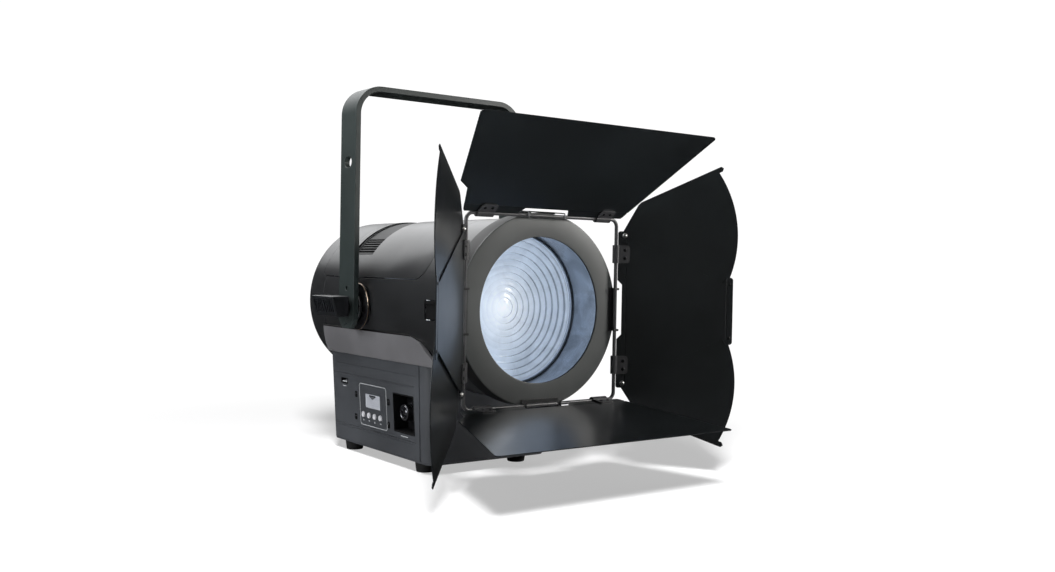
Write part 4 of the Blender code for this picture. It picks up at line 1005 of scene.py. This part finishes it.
for side, s in (("left", -1), ("right", 1)):
    grip = [(s * 149.6, -18.4), (s * 176.9, -18.4), (s * 185.3, 10.4), (s * 149.6, 10.4)]
    knob = raw_object("t_knob_" + side, plate(grip, TILT_Y - 34.4, TILT_Y + 34.4, "Y"))
    # waist behind the bar, on both arms
    waist = bmesh.new()
    for k in (-1, 1):
        add(waist, plate([(TILT_Y + k * 17.0, 20.0), (TILT_Y + k * 40.0, 20.0), (TILT_Y + k * 40.0, -30.0), (TILT_Y + k * 17.0, -30.0)], min(s * 140, s * 158.5), max(s * 140, s * 158.5), "X"))
    cut(knob, waist)
    edges(knob, 1.8, 4, 30)
    hub = turned([(0.0, s * 146.7), (12.4, s * 146.7), (13.0, s * 147.3), (13.0, s * 157.0), (0.0, s * 157.0)], "X", 64)
    bmesh.ops.translate(hub, vec=(0, TILT_Y, TILT_Z), verts=hub.verts)
    cut(knob, hub, "UNION")
    lean = math.atan2(8.4, 28.8)
    faceplate = Matrix.Translation((s * 181.1, TILT_Y, -4.0)) @ Matrix.Rotation(s * lean, 4, "Y")
    pocket = bmesh.new()
    for y0, y1 in ((-29.0, -2.0), (2.0, 29.0)):
        q = plate(rounded(y0, y1, -9.6, 9.6, 2.4, 6), -1.5, 6.0, "X")
        add(pocket, q, Matrix.Diagonal((s, 1, 1, 1)))
    pk = bmesh.new()
    add(pk, pocket, faceplate)
    cut(knob, pk)
    bore = turned([(0.0, s * 140.0), (5.4, s * 140.0), (5.4, s * 160.0), (0.0, s * 160.0)], "X", 40)
    bmesh.ops.translate(bore, vec=(0, TILT_Y, TILT_Z), verts=bore.verts)
    cut(knob, bore)
    clean(knob)
    knob.data.shade_smooth()
    knob.data.set_sharp_from_angle(angle=math.radians(34))
    edges(knob, 0.35, 2, 50, 34)
    finish_piece(knob, PLASTIC, "tilt_knob_" + side, "tilt_knob_" + side)
    ribs = bmesh.new()
    for y0 in (-24.0, -18.5, -13.0, -7.5, 7.5, 13.0, 18.5, 24.0):
        add(ribs, box(-1.6, -0.3, y0 - 0.8, y0 + 0.8, -8.2, 8.2), Matrix.Diagonal((s, 1, 1, 1)))
    rb = bmesh.new()
    add(rb, ribs, faceplate)
    piece("t_knob_ribs_" + side, rb, PLASTIC, "tilt_knob_" + side, bevel=0.3)

# ================================================================ accessory brackets, wire frame, catch
for side in ("left", "right", "bottom"):
    from_node("frame_bracket_" + side, "wire_bracket_" + side, FRAME_M, "housing", 0.3, 2)
H, FY, WR = 124.6, -6.0, 2.5
pts = []
for cx, cz, a0 in ((1, 1, 0), (-1, 1, 90), (-1, -1, 180), (1, -1, 270)):
    for k in range(13):
        a = math.radians(a0 + 90 * k / 12)
        pts.append((cx * (H - 10) + 10 * math.cos(a), FY, cz * (H - 10) + 10 * math.sin(a)))
piece("wire_frame", tube(pts, WR, 20, True), WIRE, "housing", "door_frame", smooth=40)
run = [(-30, 12 - 22.6, 121.8), (-30, 12 - 22.6, 130.6), (-30, 12, 130.6), (30, 12, 130.6), (30, 12 - 22.6, 130.6), (30, 12 - 22.6, 121.8)]
piece("spring_catch", tube(smooth_path(run, 2.4, 6), 0.9, 14), WIRE_STEEL, "frame_catch", "frame_catch", smooth=40)
# saddle that holds the catch on the ring's rim
saddle = box(-26.0, -14.0, 6.0, 18.0, 128.4, 129.8)
box(14.0, 26.0, 6.0, 18.0, 128.4, 129.8, saddle)
piece("catch_saddle", saddle, FRAME_M, "housing", bevel=0.3)

# ================================================================ barn doors
ANGLE = {"top": 38.1, "bottom": 7.8, "right": 56.2, "left": 44.0}
PLACE = {}
for side, deg in ANGLE.items():
    a = math.radians(deg)
    u, v, p = {
        "right": (Vector((math.sin(a), -math.cos(a), 0)), Vector((0, 0, 1)), Vector((H, FY, 0))),
        "left": (Vector((-math.sin(a), -math.cos(a), 0)), Vector((0, 0, -1)), Vector((-H, FY, 0))),
        "top": (Vector((0, -math.cos(a), math.sin(a))), Vector((-1, 0, 0)), Vector((0, FY, H))),
        "bottom": (Vector((0, -math.cos(a), -math.sin(a))), Vector((1, 0, 0)), Vector((0, FY, -H))),
    }[side]
    PLACE[side] = Matrix.Translation(p) @ Matrix((u, v, u.cross(v))).transposed().to_4x4()

T = 0.6  # half the sheet's thickness


def leaf(outline, beads=(), t=T, w=0.0):
    """Sheet cut to an outline, with pressed lines at the given distances from the hinge, (u, depth, half width)."""
    bm = bmesh.new()
    f = bm.faces.new([bm.verts.new((x, y, w - t)) for x, y in outline])
    for at, _, hw in beads:
        for d in (-hw, 0.0, hw):
            bmesh.ops.bisect_plane(bm, geom=list(bm.verts) + list(bm.edges) + list(bm.faces), plane_co=(at + d, 0, 0), plane_no=(1, 0, 0))
    made = bmesh.ops.extrude_face_region(bm, geom=list(bm.faces))["geom"]
    bmesh.ops.translate(bm, vec=(0, 0, 2 * t), verts=[g for g in made if isinstance(g, bmesh.types.BMVert)])
    for at, depth, _ in beads:
        for q in bm.verts:
            if abs(q.co.x - at) < 1e-4:
                q.co.z -= depth
    return bm


def placed(bm, side, extra=None):
    out = bmesh.new()
    return add(out, bm, PLACE[side] @ extra if extra is not None else PLACE[side])


def drilled(ob, side, spots, r):
    h = bmesh.new()
    for u_, v_ in spots:
        q = turned([(0.0, -6.0), (r, -6.0), (r, 6.0), (0.0, 6.0)], "Z", 24)
        bmesh.ops.translate(q, vec=(u_, v_, 0), verts=q.verts)
        add(h, q)
    cut(ob, placed(h, side))


NOTCH = 41.0
u0, s_in, lipv, s_out = 2.9, 109.0, 47.0, 165.5
notch = lambda d: arc(d - 2.0, -NOTCH + 7.0, 2.0, 300, 360, 3) + arc(d - 2.0, NOTCH - 7.0, 2.0, 0, 60, 3)
side_outline = ([(u0, -NOTCH)] + notch(9.2) + [(u0, NOTCH)]
                + arc(u0 + 3, s_in - 3, 3, 180, 90, 6) + [(16.5, s_in)] + arc(16.5, s_in - 4.0, 4.0, 90, 30, 5)[1:] + [(22.0, 98.0), (152.0, 38.6)]
                + arc(159.0, lipv - 4.0, 4.0, 150, 90, 4) + arc(s_out - 4.0, lipv - 4.0, 4.0, 90, 0, 6)
                + arc(s_out - 4.0, -lipv + 4.0, 4.0, 0, -90, 6) + arc(159.0, -lipv + 4.0, 4.0, -90, -150, 4)
                + [(152.0, -38.6), (22.0, -98.0)] + arc(16.5, -s_in + 4.0, 4.0, -30, -90, 5) + [(16.5, -s_in)][:0] + arc(u0 + 3, -s_in + 3, 3, -90, -180, 6))
flap_outline = ([(-5.0, -6.0)] + arc(0, 0, 159.5, -26.5, 34.4, 40) + [(135.6, 92.0), (136.3, 92.7), (137.5, 96.2), (137.2, 97.2), (133.8, 99.0), (23.0, 47.2), (18.6, 43.0), (-1.2, 7.3), (-5.0, 0.0)])
FLAP_REST = {"right_upper": 0.0, "right_lower": 4.4, "left_upper": 4.0, "left_lower": 4.0}


def wide_outline(out, shift, low, high, relief, s):
    """Top or bottom leaf in (distance from hinge, x), x turned into the hinge's own direction by s."""
    def edge(u):
        return 137.5 + 49.1 * u / out

    def turn_in(k):
        # rounded outer corner on side k
        cx, r = shift + k * (edge(out) - 6.6), 6.0
        return [(out - 6.0 + q[0], cx + k * q[1]) for q in arc(0, 0, r, 0, 74, 8)]

    pts = [(u0, low)] + arc(12.0, low + 7.0, 2.0, 300, 360, 3) + arc(12.0, high - 7.0, 2.0, 0, 60, 3) + [(u0, high)]
    pts += [(u0, shift + edge(u0) - 2.0), (u0 + 0.7, shift + edge(u0) - 0.6), (u0 + 3.0, shift + edge(u0 + 3.0))]
    pts += turn_in(1)[::-1] + turn_in(-1)
    pts += [(relief[0] + 12.0, shift - edge(relief[0] + 12.0)), relief, (u0 + 3.0, -132.0), (u0, -130.0)]
    return [(u, s * x) for u, x in pts]


for side, shape in (("top", (173.0, -8.55, -46.7, 35.3, (44.0, -146.0), -1)), ("bottom", (177.4, -8.55, -NOTCH, NOTCH, (28.0, -140.3), 1))):
    ob = raw_object("leaf_" + side, placed(leaf(wide_outline(*shape), [(15.0, 0.9, 1.4)]), side))
    edges(ob, 0.28, 2, 50, 30)
    finish_piece(ob, DOOR_IN, "door_" + side, "door_" + side)
for side in ("right", "left"):
    ob = raw_object("leaf_" + side, placed(leaf(side_outline, [(15.0, 0.7, 1.3), (156.6, 0.7, 1.0)]), side))
    edges(ob, 0.28, 2, 50, 30)
    finish_piece(ob, DOOR_IN, "door_" + side, "door_" + side)
    for name, k in (("upper", 1), ("lower", -1)):
        vs = k if side == "right" else -k
        back = -1.6 if k > 0 else -3.2
        fold = math.radians(FLAP_REST[side + "_" + name])
        bm = leaf([(x * math.cos(fold) + y * math.sin(fold), y * math.cos(fold) - x * math.sin(fold)) for x, y in flap_outline], [])
        flap = raw_object("side_flap_%s_%s" % (side, name), placed(add(bmesh.new(), bm, Matrix.Translation((11.9, vs * 102.8, back)) @ Matrix.Diagonal((1, vs, 1, 1))), side))
        edges(flap, 0.28, 2, 50, 30)
        finish_piece(flap, DOOR_IN, "flap_%s_%s" % (side, name), "flap_%s_%s" % (side, name))
    # rivets: pivots of the flaps, and the lip's
    M = PLACE[side]
    rot = M.to_3x3()

    def on(u_, v_, w_=T, spin=0.0):
        return M @ Matrix.Translation((u_, v_, w_)) @ Matrix.Rotation(spin, 4, "Z")

    def under(u_, v_, w_):
        return M @ Matrix.Translation((u_, v_, w_)) @ Matrix.Rotation(math.pi, 4, "X")

    many("flap_rivets_" + side, RIVET, [on(11.9, v_) for v_ in (-102.8, 102.8)] + [under(11.9, -102.8 if side == "right" else 102.8, -3.2 - T), under(11.9, 102.8 if side == "right" else -102.8, -1.6 - T)], ZINC, "door_" + side)
    many("lip_rivets_" + side, RIVET_SMALL, [on(160.6, v_) for v_ in (-37.5, 37.5)], BLACK_OXIDE, "door_" + side)

clip_screws = {}
for side in ANGLE:
    centre = 77.0 if side in ("right", "left") else 97.5
    for k, v_ in ((1, -centre), (2, centre)):
        from_node("hinge_%s_%d" % (side, k), "hinge_clip_%s_%d" % (side, k), CLIP, "door_" + side, 0.25, 2, 40)
    many("hinge_screws_" + side, PAN_SMALL, [PLACE[side] @ Matrix.Translation((12.4, v_ + d, T + 2.0)) @ Matrix.Rotation(0.5 + v_, 4, "Z") for v_ in (-centre, centre) for d in (-5.6, 5.6)], BLACK_OXIDE, "door_" + side)

# ================================================================ inside
for node, m in (("carriage_plate", ALU), ("heat_sink", ALU), ("rear_bulkhead", ALU), ("led_module", LED), ("reflector", MIRROR),
                ("guide_rod_left", STEEL), ("guide_rod_right", STEEL), ("lead_screw", STEEL), ("focus_motor", PLASTIC),
                ("fan_frame", PLASTIC), ("fan_rotor", PLASTIC), ("power_supply", SUPPLY)):
    ob = NODES[node]
    ob.data.materials.clear()
    ob.data.materials.append(m)

# ================================================================ stage
fl = bmesh.new()
bmesh.ops.create_grid(fl, x_segments=1, y_segments=1, size=20.0)
me = bpy.data.meshes.new("studio_floor")
fl.to_mesh(me)
fl.free()
floor = bpy.data.objects.new("studio_floor", me)
floor.location = (0, 0, FLOOR_Z - 0.0002)
bpy.context.scene.collection.objects.link(floor)
fm, ft_, fp = nodes_of("floor_white")
fp.inputs["Base Color"].default_value = (0.86, 0.86, 0.865, 1)
fp.inputs["Roughness"].default_value = 0.9
fp.inputs["Specular IOR Level"].default_value = 0.1
# far from the lamp the floor runs out into the white backdrop
fco = ft_.nodes.new("ShaderNodeTexCoord")
fln = ft_.nodes.new("ShaderNodeVectorMath")
fln.operation = "LENGTH"
ft_.links.new(fco.outputs["Object"], fln.inputs[0])
far = spread(ft_, fln.outputs["Value"], 0.44, 1.0, 0.42, 0.85)
fcam = ft_.nodes.new("ShaderNodeLightPath")
fmul = ft_.nodes.new("ShaderNodeMath")
fmul.operation = "MULTIPLY"
ft_.links.new(far, fmul.inputs[0])
ft_.links.new(fcam.outputs["Is Camera Ray"], fmul.inputs[1])
fem = ft_.nodes.new("ShaderNodeEmission")
fem.inputs["Strength"].default_value = 1.05
fmx = ft_.nodes.new("ShaderNodeMixShader")
ft_.links.new(fmul.outputs[0], fmx.inputs[0])
ft_.links.new(fp.outputs[0], fmx.inputs[1])
ft_.links.new(fem.outputs[0], fmx.inputs[2])
ft_.links.new(fmx.outputs[0], ft_.nodes["Material Output"].inputs["Surface"])
me.materials.append(fm)
floor.visible_glossy = False      # the studio keeps the white floor out of the gloss of the doors


def area(name, loc, target, size, power, colour=(1, 1, 1), size_y=None):
    l = bpy.data.lights.new(name, "AREA")
    l.energy, l.color, l.size = power, colour, size
    if size_y:
        l.shape, l.size_y = "RECTANGLE", size_y
    o = bpy.data.objects.new(name, l)
    bpy.context.scene.collection.objects.link(o)
    o.location = loc
    o.rotation_euler = (Vector(target) - Vector(loc)).to_track_quat("-Z", "Y").to_euler()
    return o


mid = (0.0, -0.05, 0.22)
lamp_lights = [area("back_high", (0.35, 2.0, 1.7), mid, 2.6, 28.0, (0.98, 0.99, 1.0), 1.5)]
floor_light = area("floor_key", (-1.05, -1.75, 1.75), (0, 0, 0), 0.5, 150.0)
lamp_lights.append(area("key_left", (-0.75, 0.75, 2.3), mid, 1.1, 58.0))
lamp_lights.append(area("front_right", (1.25, -1.3, 0.72), (0.0, -0.277, 0.25), 0.55, 20.0, (1.0, 0.98, 0.95), 0.5))
lamp_lights.append(area("left_fill", (-2.1, -0.1, 0.9), mid, 1.0, 26.0, (0.93, 0.97, 1.0), 0.8))
# the lamp's lights leave the floor alone, and the floor's light gives it one soft shadow
lamp_only, floor_only = bpy.data.collections.new("lit_lamp"), bpy.data.collections.new("lit_floor")
for ob in bpy.context.scene.objects:
    if ob.type == "MESH":
        (floor_only if ob is floor or ob.name == floor.name else lamp_only).objects.link(ob)
for l_ in lamp_lights:
    l_.light_linking.receiver_collection = lamp_only
floor_light.light_linking.receiver_collection = floor_only

world_ = bpy.data.worlds.new("studio")
bpy.context.scene.world = world_
world_.use_nodes = True
wt = world_.node_tree
bg = wt.nodes["Background"]
path = wt.nodes.new("ShaderNodeLightPath")
co = wt.nodes.new("ShaderNodeTexCoord")
sep = wt.nodes.new("ShaderNodeSeparateXYZ")
wt.links.new(co.outputs["Generated"], sep.inputs[0])
ramp = wt.nodes.new("ShaderNodeMapRange")
ramp.inputs["From Min"].default_value, ramp.inputs["From Max"].default_value = -0.2, 0.9
ramp.inputs["To Min"].default_value, ramp.inputs["To Max"].default_value = 0.02, 0.11
wt.links.new(sep.outputs["Z"], ramp.inputs["Value"])
mx = wt.nodes.new("ShaderNodeMix")
mx.data_type = "FLOAT"
wt.links.new(path.outputs["Is Camera Ray"], mx.inputs[0])
wt.links.new(ramp.outputs["Result"], mx.inputs[2])
mx.inputs[3].default_value = 1.05
bg.inputs["Color"].default_value = (1, 1, 1, 1)
wt.links.new(mx.outputs[0], bg.inputs["Strength"])

bpy.context.scene.view_settings.view_transform = "Standard"
